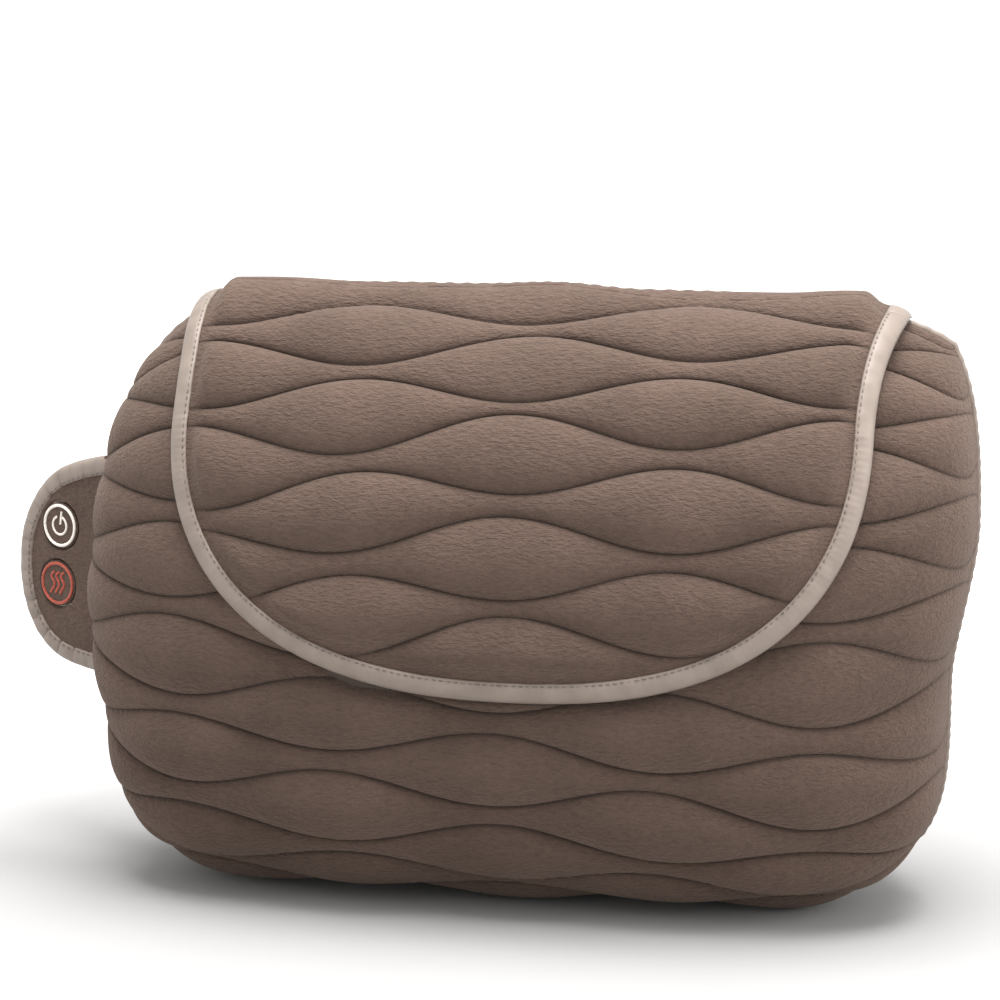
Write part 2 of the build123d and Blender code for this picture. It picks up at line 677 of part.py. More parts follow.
with BuildPart() as chassis_rear:
    add(chassis_block(0, CHASSIS_BACK_Y, CHASSIS_SPLIT_Y))
    fillet(chassis_rear.faces().sort_by(Axis.Y)[-1].edges(), 1.2)
    add(chassis_core, mode=Mode.SUBTRACT)
    with BuildSketch(facing_front(INNER_BACK_Y)):
        with Locations(*head_places):
            Circle(HUB_RADIUS)
        with Locations(*SCREW_PLACES):
            Circle(SCREW_POST)
    extrude(amount=INNER_BACK_Y - CHASSIS_SPLIT_Y - 1)
    with BuildSketch(facing_front(CHASSIS_SPLIT_Y + 1)):
        with Locations(*SCREW_PLACES):
            Circle(SCREW_POST)
    extrude(amount=1)
    with BuildSketch(facing_front(INNER_BACK_Y)):
        with Locations((sum(BOARD_X) / 2, sum(BOARD_Z) / 2)):
            with GridLocations(BOARD_X[1] - BOARD_X[0] - 8, BOARD_Z[1] - BOARD_Z[0] - 8, 2, 2):
                Circle(2.5)
    extrude(amount=INNER_BACK_Y - BOARD_Y - BOARD_THICKNESS)
    add(box_between((-8, -21, BRIDGE_BOTTOM_Z), (8, INNER_BACK_Y, BRIDGE_TOP_Z)))
    with BuildSketch(Plane.XY.offset(BRIDGE_BOTTOM_Z)):
        with Locations(motor_axis):
            Circle(4.5)
    extrude(amount=20, mode=Mode.SUBTRACT)
    with BuildSketch(facing_front(INNER_BACK_Y)):
        with Locations(*head_places):
            Circle(BUSH_RADIUS)
    extrude(amount=30, mode=Mode.SUBTRACT)
    with BuildSketch(facing_front(CHASSIS_BACK_Y)):
        with Locations(*SCREW_PLACES):
            Circle(SCREW_RADIUS)
    extrude(amount=40, mode=Mode.SUBTRACT)
    with BuildSketch(facing_front(CHASSIS_BACK_Y)):
        with Locations(*SCREW_PLACES):
            Circle(SCREW_HEAD + 0.3)
    extrude(amount=2.6, mode=Mode.SUBTRACT)
save(chassis_rear.part, "chassis_rear")

with BuildPart() as housing_screws:
    with BuildSketch(facing_front(CHASSIS_BACK_Y - 0.2)):
        with Locations(*SCREW_PLACES):
            Circle(SCREW_HEAD)
    extrude(amount=2.4)
    with BuildSketch(facing_front(CHASSIS_BACK_Y - 2.6)):
        with Locations(*SCREW_PLACES):
            Circle(SCREW_RADIUS)
    extrude(amount=CHASSIS_BACK_Y - 2.6 - CHASSIS_SPLIT_Y + 11)
    with BuildSketch(facing_front(CHASSIS_BACK_Y - 0.2)):
        with Locations(*SCREW_PLACES):
            Rectangle(3.4, 0.7)
            Rectangle(0.7, 3.4)
    extrude(amount=1, mode=Mode.SUBTRACT)
save(housing_screws.part, "housing_screws")

with BuildPart() as bushes:
    for back_y, front_y in ((INNER_BACK_Y, CHASSIS_SPLIT_Y + 1), (INNER_FRONT_Y + 9.5, CHASSIS_FRONT_Y)):
        with BuildSketch(facing_front(back_y)):
            with Locations(*head_places):
                Circle(BUSH_RADIUS)
                Circle(SHAFT_RADIUS + RUNNING, mode=Mode.SUBTRACT)
        extrude(amount=back_y - front_y)
    with BuildSketch(Plane.XY.offset(BRIDGE_BOTTOM_Z)):
        with Locations(motor_axis):
            Circle(4.5)
            Circle(MOTOR_SHAFT_RADIUS + RUNNING, mode=Mode.SUBTRACT)
    extrude(amount=BRIDGE_TOP_Z - BRIDGE_BOTTOM_Z)
save(bushes.part, "bushes")

# ---- motor -----------------------------------------------------------------------------------------------
CAP_TOP_Z = MOTOR_BOTTOM_Z + 3.0
MAGNET_BOTTOM_Z = 62.0
MAGNET_TOP_Z = 94.0
ARMATURE_RADIUS = 11.0
CAN_INNER = MOTOR_RADIUS - MOTOR_WALL

with BuildPart() as motor_can:
    with BuildSketch(Plane.XY.offset(CAP_TOP_Z)):
        with Locations(motor_axis):
            Circle(MOTOR_RADIUS)
    extrude(amount=MOTOR_TOP_Z - CAP_TOP_Z)
    fillet(motor_can.faces().sort_by(Axis.Z)[-1].edges(), 1.5)
    with BuildSketch(Plane.XY.offset(CAP_TOP_Z)):
        with Locations(motor_axis):
            Circle(CAN_INNER)
    extrude(amount=MOTOR_TOP_Z - CAP_TOP_Z - MOTOR_WALL, mode=Mode.SUBTRACT)
    with BuildSketch(Plane.XY.offset(MOTOR_TOP_Z - MOTOR_WALL)):
        with Locations(motor_axis):
            Circle(6.4)
    extrude(amount=BRACKET_TOP_Z + 1 - MOTOR_TOP_Z + MOTOR_WALL)
    with BuildSketch(Plane.XY.offset(MOTOR_TOP_Z - 10)):
        with Locations(motor_axis):
            Circle(MOTOR_SHAFT_RADIUS + RUNNING)
    extrude(amount=20, mode=Mode.SUBTRACT)
save(motor_can.part, "motor_can")

with BuildPart() as motor_magnets:
    with BuildSketch(Plane.XY.offset(MAGNET_BOTTOM_Z)):
        with Locations(motor_axis):
            Circle(CAN_INNER)
            Circle(ARMATURE_RADIUS + 0.6, mode=Mode.SUBTRACT)
            Rectangle(11, 60, mode=Mode.SUBTRACT)
    extrude(amount=MAGNET_TOP_Z - MAGNET_BOTTOM_Z)
save(motor_magnets.part, "motor_magnets")

with BuildPart() as motor_end_cap:
    with BuildSketch(Plane.XY.offset(MOTOR_BOTTOM_Z)):
        with Locations(motor_axis):
            Circle(MOTOR_RADIUS - 0.6)
    extrude(amount=CAP_TOP_Z - MOTOR_BOTTOM_Z)
    with BuildSketch(Plane.XY.offset(CAP_TOP_Z)):
        with Locations(motor_axis):
            Circle(5)
    extrude(amount=3)
    with BuildSketch(Plane.XY.offset(MOTOR_BOTTOM_Z + 1.2)):
        with Locations(motor_axis):
            Circle(MOTOR_SHAFT_RADIUS + RUNNING)
    extrude(amount=10, mode=Mode.SUBTRACT)
save(motor_end_cap.part, "motor_end_cap")

with BuildPart() as motor_armature:
    with BuildSketch(Plane.XY.offset(MAGNET_BOTTOM_Z + 3)):
        with Locations(motor_axis):
            Circle(ARMATURE_RADIUS)
            with PolarLocations(ARMATURE_RADIUS, 7):
                Rectangle(8, 1.6, mode=Mode.SUBTRACT)
    extrude(amount=MAGNET_TOP_Z - MAGNET_BOTTOM_Z - 6)
    with BuildSketch(Plane.XY.offset(CAP_TOP_Z + 4)):
        with Locations(motor_axis):
            Circle(4.5)
    extrude(amount=MAGNET_BOTTOM_Z - CAP_TOP_Z - 1)
    with BuildSketch(Plane.XY.offset(CAP_TOP_Z)):
        with Locations(motor_axis):
            Circle(MOTOR_SHAFT_RADIUS)
    extrude(amount=60, mode=Mode.SUBTRACT)
save(motor_armature.part, "motor_armature")

with BuildPart() as motor_shaft:
    with BuildSketch(Plane.XY.offset(MOTOR_BOTTOM_Z + 1.5)):
        with Locations(motor_axis):
            Circle(MOTOR_SHAFT_RADIUS)
    extrude(amount=BRIDGE_TOP_Z - 2 - MOTOR_BOTTOM_Z - 1.5)
save(motor_shaft.part, "motor_shaft")

bracket_front_y = INNER_FRONT_Y + 0.2
with BuildPart() as motor_bracket:
    add(box_between(
        (-BRACKET_HALF_WIDTH, bracket_front_y, MOTOR_TOP_Z),
        (BRACKET_HALF_WIDTH, INNER_BACK_Y, BRACKET_TOP_Z),
    ))
    add(box_between(
        (-BRACKET_HALF_WIDTH, INNER_BACK_Y - 2, MOTOR_TOP_Z - 14),
        (BRACKET_HALF_WIDTH, INNER_BACK_Y, MOTOR_TOP_Z),
    ))
    with BuildSketch(Plane.XY.offset(MOTOR_TOP_Z - 5)):
        with Locations(motor_axis):
            Circle(6.4)
            with GridLocations(25, 0, 2, 1):
                Circle(1.6)
    extrude(amount=20, mode=Mode.SUBTRACT)
save(motor_bracket.part, "motor_bracket")

# ---- worm ------------------------------------------------------------------------------------------------
worm_bottom_z = HEAD_Z - WORM_LENGTH / 2


def worm_face(z):
    """Section of the two-start worm at height z; a thread is centred on the X axis at the wheels' height."""
    turn = (z - HEAD_Z) / WORM_LEAD * 360
    root = WORM_RADIUS - DEDENDUM
    crest = WORM_RADIUS + ADDENDUM
    points = []
    for start in range(WORM_STARTS):
        for step in range(-3, 4):
            radius = crest - (crest - root) * max(abs(step) - 1, 0) / 2
            half = TOOTH_THICKNESS / 2 - (radius - WORM_RADIUS) * FLANK
            side = (step > 0) - (step < 0)
            angle = radians(turn + start * 180 + side * half / WORM_LEAD * 360)
            points.append((radius * cos(angle), radius * sin(angle)))
        angle = radians(turn + start * 180 + 90)
        points.append((root * cos(angle), root * sin(angle)))
    with BuildSketch(Plane(origin=(0, DRIVE_Y, z))) as sketch:
        with BuildLine():
            Polyline(*points, close=True)
        make_face()
    return sketch.sketch


worm_steps = round(WORM_LENGTH / WORM_LEAD * 360 / WORM_STEP_DEG)
worm_faces = [worm_face(worm_bottom_z + WORM_LENGTH * step / worm_steps) for step in range(worm_steps + 1)]

with BuildPart() as worm:
    loft(worm_faces, ruled=True)
    with BuildSketch(Plane.XY.offset(worm_bottom_z)):
        with Locations(motor_axis):
            Circle(MOTOR_SHAFT_RADIUS)
    extrude(amount=WORM_LENGTH, mode=Mode.SUBTRACT)
save(worm.part, "worm")


# ---- massage heads ---------------------------------------------------------------------------------------
def wheel_face(x, y, turn_deg):
    """Toothed outline of a worm wheel at depth y, turned by an angle; gaps lie on the line through the worm."""
    pitch_deg = 360 / WHEEL_TEETH
    points = []
    for tooth in range(WHEEL_TEETH):
        for radius, side in ((WHEEL_RADIUS - DEDENDUM, -1), (WHEEL_RADIUS + ADDENDUM, -1),
                             (WHEEL_RADIUS + ADDENDUM, 1), (WHEEL_RADIUS - DEDENDUM, 1)):
            half = TOOTH_THICKNESS / 2 - (radius - WHEEL_RADIUS) * FLANK
            angle = radians(turn_deg + (tooth + 0.5) * pitch_deg) + side * half / radius
            points.append((radius * cos(angle), radius * sin(angle)))
    with BuildSketch(Plane(origin=(x, y, HEAD_Z), x_dir=(1, 0, 0), z_dir=(0, -1, 0))) as sketch:
        with BuildLine():
            Polyline(*points, close=True)
        make_face()
    return sketch.sketch


def node_profile(tip_y):
    """Half section of a massage node: straight at its foot, then domed."""
    shoulder_y = NODE_BASE_Y - NODE_SHOULDER
    middle = (NODE_RADIUS * sin(pi / 4), shoulder_y + (tip_y - shoulder_y) * sin(pi / 4))
    with BuildSketch() as sketch:
        with BuildLine():
            Polyline(
                (NODE_TIP_RADIUS, tip_y),
                (0, tip_y),
                (0, NODE_BASE_Y),
                (NODE_RADIUS, NODE_BASE_Y),
                (NODE_RADIUS, shoulder_y),
            )
            ThreePointArc((NODE_RADIUS, shoulder_y), middle, (NODE_TIP_RADIUS, tip_y))
        make_face()
    return sketch.sketch


for side_name, head_x in (("left", -HEAD_X), ("right", HEAD_X)):
    with BuildPart() as shaft:
        add(rod_along_y(head_x, HEAD_Z, SHAFT_RADIUS, SHAFT_BACK_Y, SHAFT_FRONT_Y))
        add(rod_along_y(head_x, HEAD_Z, 1.5, SHAFT_FRONT_Y + 8, SHAFT_FRONT_Y), mode=Mode.SUBTRACT)
    save(shaft.part, f"{side_name}_shaft")

    wheel_back = wheel_face(head_x, DRIVE_Y + FACE_WIDTH / 2, -FACE_TWIST / 2)
    wheel_front = wheel_face(head_x, DRIVE_Y - FACE_WIDTH / 2, FACE_TWIST / 2)
    with BuildPart() as worm_wheel:
        loft([wheel_back, wheel_front], ruled=True)
        for dish_y in (DRIVE_Y + FACE_WIDTH / 2, DRIVE_Y - FACE_WIDTH / 2 + 2):
            with BuildSketch(facing_front(dish_y)):
                with Locations((head_x, HEAD_Z)):
                    Circle(WHEEL_RADIUS - 6)
            extrude(amount=2, mode=Mode.SUBTRACT)
        with BuildSketch(facing_front(DRIVE_Y + FACE_WIDTH)):
            with Locations((head_x, HEAD_Z)):
                with PolarLocations(21, 5):
                    Circle(6.5)
        extrude(amount=2 * FACE_WIDTH, mode=Mode.SUBTRACT)
        add(rod_along_y(head_x, HEAD_Z, HUB_RADIUS, DRIVE_Y + 7, DRIVE_Y - 7))
        add(rod_along_y(head_x, HEAD_Z, SHAFT_RADIUS, DRIVE_Y + 10, DRIVE_Y - 10), mode=Mode.SUBTRACT)
    save(worm_wheel.part, f"{side_name}_worm_wheel")

    with BuildPart() as arm:
        with BuildSketch(facing_front(ARM_BACK_Y)):
            with Locations((head_x, HEAD_Z)):
                SlotCenterToCenter(2 * NODE_ORBIT, 16, rotation=90)
        extrude(amount=ARM_BACK_Y - ARM_FRONT_Y)
        fillet(arm.edges().group_by(Axis.Y)[0], 1.0)
        add(rod_along_y(head_x, HEAD_Z, 11, ARM_BACK_Y + 2, ARM_FRONT_Y - 1))
        for node_z in (HEAD_Z + NODE_ORBIT, HEAD_Z - NODE_ORBIT):
            add(rod_along_y(head_x, node_z, 6, ARM_FRONT_Y, NODE_BASE_Y + 0.4))
            add(rod_along_y(head_x, node_z, POST_RADIUS, NODE_BASE_Y + 0.4, POST_TIP_Y))
        add(rod_along_y(head_x, HEAD_Z, SHAFT_RADIUS, ARM_BACK_Y + 2, SHAFT_FRONT_Y), mode=Mode.SUBTRACT)
        add(rod_along_y(head_x, HEAD_Z, 1.7, SHAFT_FRONT_Y, ARM_FRONT_Y - 1), mode=Mode.SUBTRACT)
    save(arm.part, f"{side_name}_arm")

    with BuildPart() as arm_screw:
        add(rod_along_y(head_x, HEAD_Z, 1.5, SHAFT_FRONT_Y + 7, ARM_FRONT_Y - 1))
        add(rod_along_y(head_x, HEAD_Z, 4, ARM_FRONT_Y - 1, ARM_FRONT_Y - 3))
        fillet(arm_screw.edges().group_by(Axis.Y)[0], 0.8)
    save(arm_screw.part, f"{side_name}_arm_screw")

    for node_name, node_z, tip_y in (
        ("tall", HEAD_Z + NODE_ORBIT, TALL_TIP_Y),
        ("short", HEAD_Z - NODE_ORBIT, SHORT_TIP_Y),
    ):
        node_axis = Axis((head_x, 0, node_z), (0, 1, 0))
        with BuildPart() as node:
            with BuildSketch(Plane(origin=(head_x, 0, node_z))):
                add(node_profile(tip_y))
            revolve(axis=node_axis)
            with BuildSketch(facing_front(NODE_BASE_Y)):
                with Locations((head_x, node_z)):
                    with PolarLocations(NODE_RADIUS + 2.4, 6):
                        Circle(4)
            extrude(amount=30, mode=Mode.SUBTRACT)
            with BuildSketch(facing_front(NODE_BASE_Y)):
                with Locations((head_x, node_z)):
                    Circle(POST_RADIUS + RUNNING)
            extrude(amount=NODE_BASE_Y - POST_TIP_Y + 0.5, mode=Mode.SUBTRACT)
        save(node.part, f"{side_name}_{node_name}_node")

# ---- vibration unit --------------------------------------------------------------------------------------
def across(x):
    """Drawing plane across the vibration motor's shaft at x: Y, then Z, extruding to the right."""
    return Plane(origin=(x, *BUZZER_AXIS), x_dir=(0, 1, 0), z_dir=(1, 0, 0))


clamp_left_x = BUZZER_LEFT_X + 8
clamp_width = BUZZER_RIGHT_X - BUZZER_LEFT_X - 16

with BuildPart() as vibration_motor:
    with BuildSketch(across(BUZZER_LEFT_X)):
        Circle(BUZZER_RADIUS)
    extrude(amount=BUZZER_RIGHT_X - BUZZER_LEFT_X)
    fillet(vibration_motor.faces().sort_by(Axis.X)[-1].edges(), 1.0)
    with BuildSketch(across(BUZZER_RIGHT_X - 6)):
        Circle(1.0 + RUNNING)
    extrude(amount=10, mode=Mode.SUBTRACT)
save(vibration_motor.part, "vibration_motor")

with BuildPart() as vibration_weight:
    with BuildSketch(across(BUZZER_RIGHT_X + 2)):
        Circle(WEIGHT_RADIUS)
        with Locations((0, WEIGHT_RADIUS + 1.5)):
            Rectangle(2 * WEIGHT_RADIUS + 2, 2 * WEIGHT_RADIUS, mode=Mode.SUBTRACT)
        Circle(2.5)
    extrude(amount=8)
    with BuildSketch(across(BUZZER_RIGHT_X - 5.5)):
        Circle(1.0)
    extrude(amount=17)
save(vibration_weight.part, "vibration_weight")

with BuildPart() as vibration_clamp:
    with BuildSketch(across(clamp_left_x)):
        Circle(BUZZER_RADIUS + 2)
        with Locations(((INNER_BACK_Y - BUZZER_AXIS[0]) / 2, 0)):
            Rectangle(INNER_BACK_Y - BUZZER_AXIS[0], 10)
        Circle(BUZZER_RADIUS, mode=Mode.SUBTRACT)
    extrude(amount=clamp_width)
save(vibration_clamp.part, "vibration_clamp")

# ---- electronics -----------------------------------------------------------------------------------------
with BuildPart() as control_board:
    add(box_between((BOARD_X[0], BOARD_Y, BOARD_Z[0]), (BOARD_X[1], BOARD_Y + BOARD_THICKNESS, BOARD_Z[1])))
save(control_board.part, "control_board")

with BuildPart() as board_components:
    with BuildSketch(facing_front(BOARD_Y)):
        with Locations((34, 64)):
            Rectangle(14, 16)
    extrude(amount=12)
    with BuildSketch(facing_front(BOARD_Y)):
        with Locations((50, 80)):
            Rectangle(10, 10)
        with Locations((50, 60), (66, 60)):
            Circle(4)
        with Locations((66, 84)):
            Rectangle(14, 5)
    extrude(amount=6)
save(board_components.part, "board_components")

with BuildPart() as heat_lamps:
    with BuildSketch(facing_front(CHASSIS_FRONT_Y)):
        with Locations((0, HEAD_Z - LAMP_OFFSET), (0, HEAD_Z + LAMP_OFFSET)):
            RectangleRounded(14, 14, 2)
    extrude(amount=2)
    with BuildSketch(facing_front(CHASSIS_FRONT_Y - 2)):
        with Locations((0, HEAD_Z - LAMP_OFFSET), (0, HEAD_Z + LAMP_OFFSET)):
            Circle(5)
    extrude(amount=10)
    fillet(heat_lamps.edges().group_by(Axis.Y)[0], 4.5)
save(heat_lamps.part, "heat_lamps")
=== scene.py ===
"""Looks of a shiatsu massage pillow: quilted fleece covers, a bound flap, a control tab, zip and inlet.

Lengths in the classes below are millimetres in the CAD frame (front towards -Y, +Z up, base at the origin);
meshes are written in metres.
"""

from __future__ import annotations

import json
import logging
from dataclasses import dataclass, field
from enum import Enum
from math import cos, pi, radians, sin, tau
from typing import Callable, Sequence

import bpy
import numpy as np
from mathutils import Matrix, Vector


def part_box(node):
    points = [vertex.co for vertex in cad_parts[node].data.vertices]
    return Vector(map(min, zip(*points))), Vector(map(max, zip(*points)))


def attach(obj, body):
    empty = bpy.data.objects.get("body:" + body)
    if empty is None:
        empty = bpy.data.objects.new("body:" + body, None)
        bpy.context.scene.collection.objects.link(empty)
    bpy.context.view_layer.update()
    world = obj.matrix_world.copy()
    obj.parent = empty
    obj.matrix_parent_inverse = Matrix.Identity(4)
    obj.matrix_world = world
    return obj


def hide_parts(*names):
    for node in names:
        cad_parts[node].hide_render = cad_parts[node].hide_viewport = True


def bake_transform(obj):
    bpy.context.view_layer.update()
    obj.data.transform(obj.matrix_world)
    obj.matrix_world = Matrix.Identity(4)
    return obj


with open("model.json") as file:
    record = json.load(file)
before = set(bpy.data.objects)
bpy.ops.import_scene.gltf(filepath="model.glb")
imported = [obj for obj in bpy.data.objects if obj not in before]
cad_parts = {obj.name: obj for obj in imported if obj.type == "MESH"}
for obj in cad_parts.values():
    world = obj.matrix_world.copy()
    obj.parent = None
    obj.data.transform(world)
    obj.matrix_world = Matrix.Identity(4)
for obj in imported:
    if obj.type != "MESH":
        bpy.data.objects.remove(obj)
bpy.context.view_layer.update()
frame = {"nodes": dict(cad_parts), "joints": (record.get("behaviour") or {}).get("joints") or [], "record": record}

LOG = logging.getLogger("pillow")
MM = 0.001

Array = np.ndarray


# ---- numbers and meshes ------------------------------------------------------------------------------
def smoothstep(low: float, high: float, value: Array) -> Array:
    """Smooth ramp from 0 at low to 1 at high.

    Args:
        low: Where the ramp starts.
        high: Where it ends; it may be less than low.
        value: Places to read.

    Returns:
        Values from 0 to 1.
    """
    t = np.clip((value - low) / (high - low), 0.0, 1.0)
    return t * t * (3 - 2 * t)


def ripple(x: Array, y: Array, seed: int, size: float) -> Array:
    """Smooth, repeatable unevenness between about -1 and 1.

    Args:
        x: First coordinate, in millimetres.
        y: Second coordinate, in millimetres.
        seed: Chooses one of many patterns.
        size: Typical width of a hump, in millimetres.

    Returns:
        The sum of a few waves that run in different directions.
    """
    rng = np.random.default_rng(seed)
    total = np.zeros(np.broadcast(x, y).shape)
    for _ in range(7):
        angle, phase, stretch = rng.uniform(0, tau), rng.uniform(0, tau), rng.uniform(0.7, 1.6)
        total += np.sin((x * cos(angle) + y * sin(angle)) * tau / (2 * size * stretch) + phase)
    return total / 3.2


def normals_of(points: Array) -> Array:
    """Unit normals of a grid of points, from its row and column directions.

    Args:
        points: Grid of shape (rows, columns, 3).

    Returns:
        Unit vectors along the cross product of the row and column directions.
    """
    along = np.gradient(points, axis=1)
    down = np.gradient(points, axis=0)
    normal = np.cross(down, along)
    return normal / np.maximum(np.linalg.norm(normal, axis=2, keepdims=True), 1e-12)


def grid_faces(rows: int, columns: int, first: int = 0, wrap: bool = False,
               flip: bool = False) -> list[tuple]:
    """Quads of a grid whose vertices are numbered row by row.

    Args:
        rows: Number of rows of points.
        columns: Number of points in a row.
        first: Number of the first vertex.
        wrap: Joins the last column to the first.
        flip: Turns the faces over.

    Returns:
        Tuples of four vertex numbers.
    """
    faces = []
    last = columns if wrap else columns - 1
    for r in range(rows - 1):
        for c in range(last):
            d = (c + 1) % columns
            quad = (first + r * columns + c, first + (r + 1) * columns + c,
                    first + (r + 1) * columns + d, first + r * columns + d)
            faces.append(quad[::-1] if flip else quad)
    return faces


def make_mesh(name: str, points: Array, faces: Sequence[tuple],
              second: Sequence[int] = ()) -> bpy.types.Object:
    """Makes a smooth-shaded object from points in millimetres.

    Args:
        name: Name of the object and its mesh.
        points: Vertices of shape (n, 3).
        faces: Tuples of vertex numbers.
        second: Numbers of the faces that take the second material slot.

    Returns:
        The new object, at the origin.
    """
    mesh = bpy.data.meshes.new(name)
    mesh.from_pydata((np.asarray(points) * MM).tolist(), [], list(faces))
    mesh.polygons.foreach_set("use_smooth", [True] * len(mesh.polygons))
    if len(second):
        slots = np.zeros(len(mesh.polygons), dtype=np.int32)
        slots[list(second)] = 1
        mesh.polygons.foreach_set("material_index", slots)
    mesh.update()
    piece = bpy.data.objects.new(name, mesh)
    bpy.context.scene.collection.objects.link(piece)
    return piece


def slab(name: str, outer: Array, inner: Array) -> bpy.types.Object:
    """Closed padded slab between an outer and an inner grid with the same number of points.

    Args:
        name: Name of the object.
        outer: Outer grid of shape (rows, columns, 3), whose normals point out.
        inner: Inner grid of the same shape.

    Returns:
        The slab; its inner side takes the second material slot.
    """
    rows, columns = outer.shape[:2]
    count = rows * columns
    faces = grid_faces(rows, columns)
    back = grid_faces(rows, columns, count, flip=True)
    rim = ([(0, c) for c in range(columns - 1)] + [(r, columns - 1) for r in range(rows - 1)]
           + [(rows - 1, c) for c in range(columns - 1, 0, -1)] + [(r, 0) for r in range(rows - 1, 0, -1)])
    ids = [r * columns + c for r, c in rim]
    walls = []
    for a, b in zip(ids, ids[1:] + ids[:1]):
        walls.append((a, b, b + count, a + count))
    points = np.concatenate([outer.reshape(-1, 3), inner.reshape(-1, 3)])
    lining = range(len(faces) + len(walls), len(faces + walls + back))
    return make_mesh(name, points, faces + walls + back, lining)


def tube(name: str, rings: Array) -> bpy.types.Object:
    """Closed tube through rings of points, with flat ends.

    Args:
        name: Name of the object.
        rings: Points of shape (rings, points in a ring, 3).

    Returns:
        The closed solid, with its faces outwards.
    """
    rows, columns = rings.shape[:2]
    faces = grid_faces(rows, columns, wrap=True)
    faces.append(tuple(range(columns))[::-1])
    faces.append(tuple(range((rows - 1) * columns, rows * columns)))
    piece = make_mesh(name, rings.reshape(-1, 3), faces)
    recalculate(piece)
    return piece


def swept(name: str, centre: Array, first: Array, second: Array, profile: Array) -> bpy.types.Object:
    """Sweeps a closed profile along a line, with flat ends.

    Args:
        name: Name of the object.
        centre: Points of the line, shape (n, 3).
        first: Unit direction of the profile's first coordinate at each point.
        second: Unit direction of its second coordinate.
        profile: Closed profile, shape (m, 2), or one for each point, shape (n, m, 2).

    Returns:
        The closed solid.
    """
    if profile.ndim == 2:
        profile = np.repeat(profile[None], len(centre), axis=0)
    rings = centre[:, None] + profile[..., :1] * first[:, None] + profile[..., 1:] * second[:, None]
    return tube(name, rings)


def edit_all(piece: bpy.types.Object, tool: Callable[..., object], **options: object) -> None:
    """Runs one edit-mode tool on the whole mesh of a piece.

    Args:
        piece: The object to edit.
        tool: Operator to call in edit mode.
        **options: The operator's own settings.
    """
    deselect()
    piece.select_set(True)
    bpy.context.view_layer.objects.active = piece
    bpy.ops.object.mode_set(mode="EDIT")
    bpy.ops.mesh.select_all(action="SELECT")
    tool(**options)
    bpy.ops.object.mode_set(mode="OBJECT")
    deselect()


def recalculate(piece: bpy.types.Object) -> None:
    """Turns all faces of a closed piece outwards."""
    edit_all(piece, bpy.ops.mesh.normals_make_consistent, inside=False)


def merge(piece: bpy.types.Object) -> None:
    """Merges vertices that lie on each other."""
    edit_all(piece, bpy.ops.mesh.remove_doubles, threshold=0.00001)


def paint_crease_shade(piece: bpy.types.Object, share: Array) -> None:
    """Stores on a slab's outer points how near they lie to a stitch line, for the painted shade that its material
    puts along the stitch lines.

    Args:
        piece: The slab.
        share: Share at each outer point, 1 on a stitch line.
    """
    values = np.zeros(len(piece.data.vertices), dtype=np.float32)
    values[: share.size] = share.ravel()
    piece.data.attributes.new("crease_shade_share", "FLOAT", "POINT").data.foreach_set("value", values)


def deselect() -> None:
    """Deselects every object."""
    bpy.ops.object.select_all(action="DESELECT")


def copies(name: str, seed: bpy.types.Object, places: Array, turns: Array) -> bpy.types.Object:
    """Joins many copies of one small shape, modelled at the origin, into one mesh.

    Args:
        name: Name of the new object.
        seed: The shape, in metres; it is removed.
        places: Where each copy goes, in millimetres, shape (n, 3).
        turns: Rotation matrices, shape (n, 3, 3).

    Returns:
        One object with all copies.
    """
    shape = np.array([vertex.co for vertex in seed.data.vertices]) / MM
    shape_faces = [tuple(polygon.vertices) for polygon in seed.data.polygons]
    points = np.einsum("nij,vj->nvi", turns, shape) + places[:, None]
    faces = [tuple(v + k * len(shape) for v in face) for k in range(len(places)) for face in shape_faces]
    bpy.data.objects.remove(seed)
    return make_mesh(name, points.reshape(-1, 3), faces)


def stitch_seed(length: float, width: float) -> bpy.types.Object:
    """One stitch of sewing thread, lying along X at the origin.

    Args:
        length: Length, in millimetres.
        width: Width, in millimetres.

    Returns:
        The stitch, in metres.
    """
    deselect()
    bpy.ops.mesh.primitive_uv_sphere_add(segments=6, ring_count=5, radius=0.5 * width * MM)
    seed = bpy.context.object
    bpy.ops.transform.resize(value=(length / width, 1.0, 0.7))
    bpy.ops.object.transform_apply(location=False, rotation=False, scale=True)
    return seed


def frames_along(points: Array, up: Array) -> Array:
    """Rotation matrices whose X follows a line and whose Z is near a given direction.

    Args:
        points: Points of the line, shape (n, 3).
        up: Rough direction of Z at each point.

    Returns:
        Matrices of shape (n, 3, 3).
    """
    along = np.gradient(points, axis=0)
    along /= np.linalg.norm(along, axis=1, keepdims=True)
    side = np.cross(up, along)
    side /= np.linalg.norm(side, axis=1, keepdims=True)
    return np.stack([along, side, np.cross(along, side)], axis=2)


def spaced(points: Array, pitch: float) -> Array:
    """Positions, counted in points of a line, that are a given pitch apart along it.

    Args:
        points: Points of the line, shape (n, 3).
        pitch: Wanted distance, in millimetres.

    Returns:
        Fractional point numbers.
    """
    steps = np.linalg.norm(np.diff(points, axis=0), axis=1)
    reach = np.concatenate([[0], np.cumsum(steps)])
    count = max(int(reach[-1] / pitch), 1)
    return np.interp((np.arange(count) + 0.5) * reach[-1] / count, reach, np.arange(len(points)))


def at_index(values: Array, index: Array) -> Array:
    """Values of a sampled line at fractional positions.

    Args:
        values: Samples of shape (n, k).
        index: Fractional sample numbers.

    Returns:
        Values of shape (m, k).
    """
    low = np.clip(np.floor(index).astype(int), 0, len(values) - 2)
    part = (index - low)[:, None]
    return values[low] * (1 - part) + values[low + 1] * part


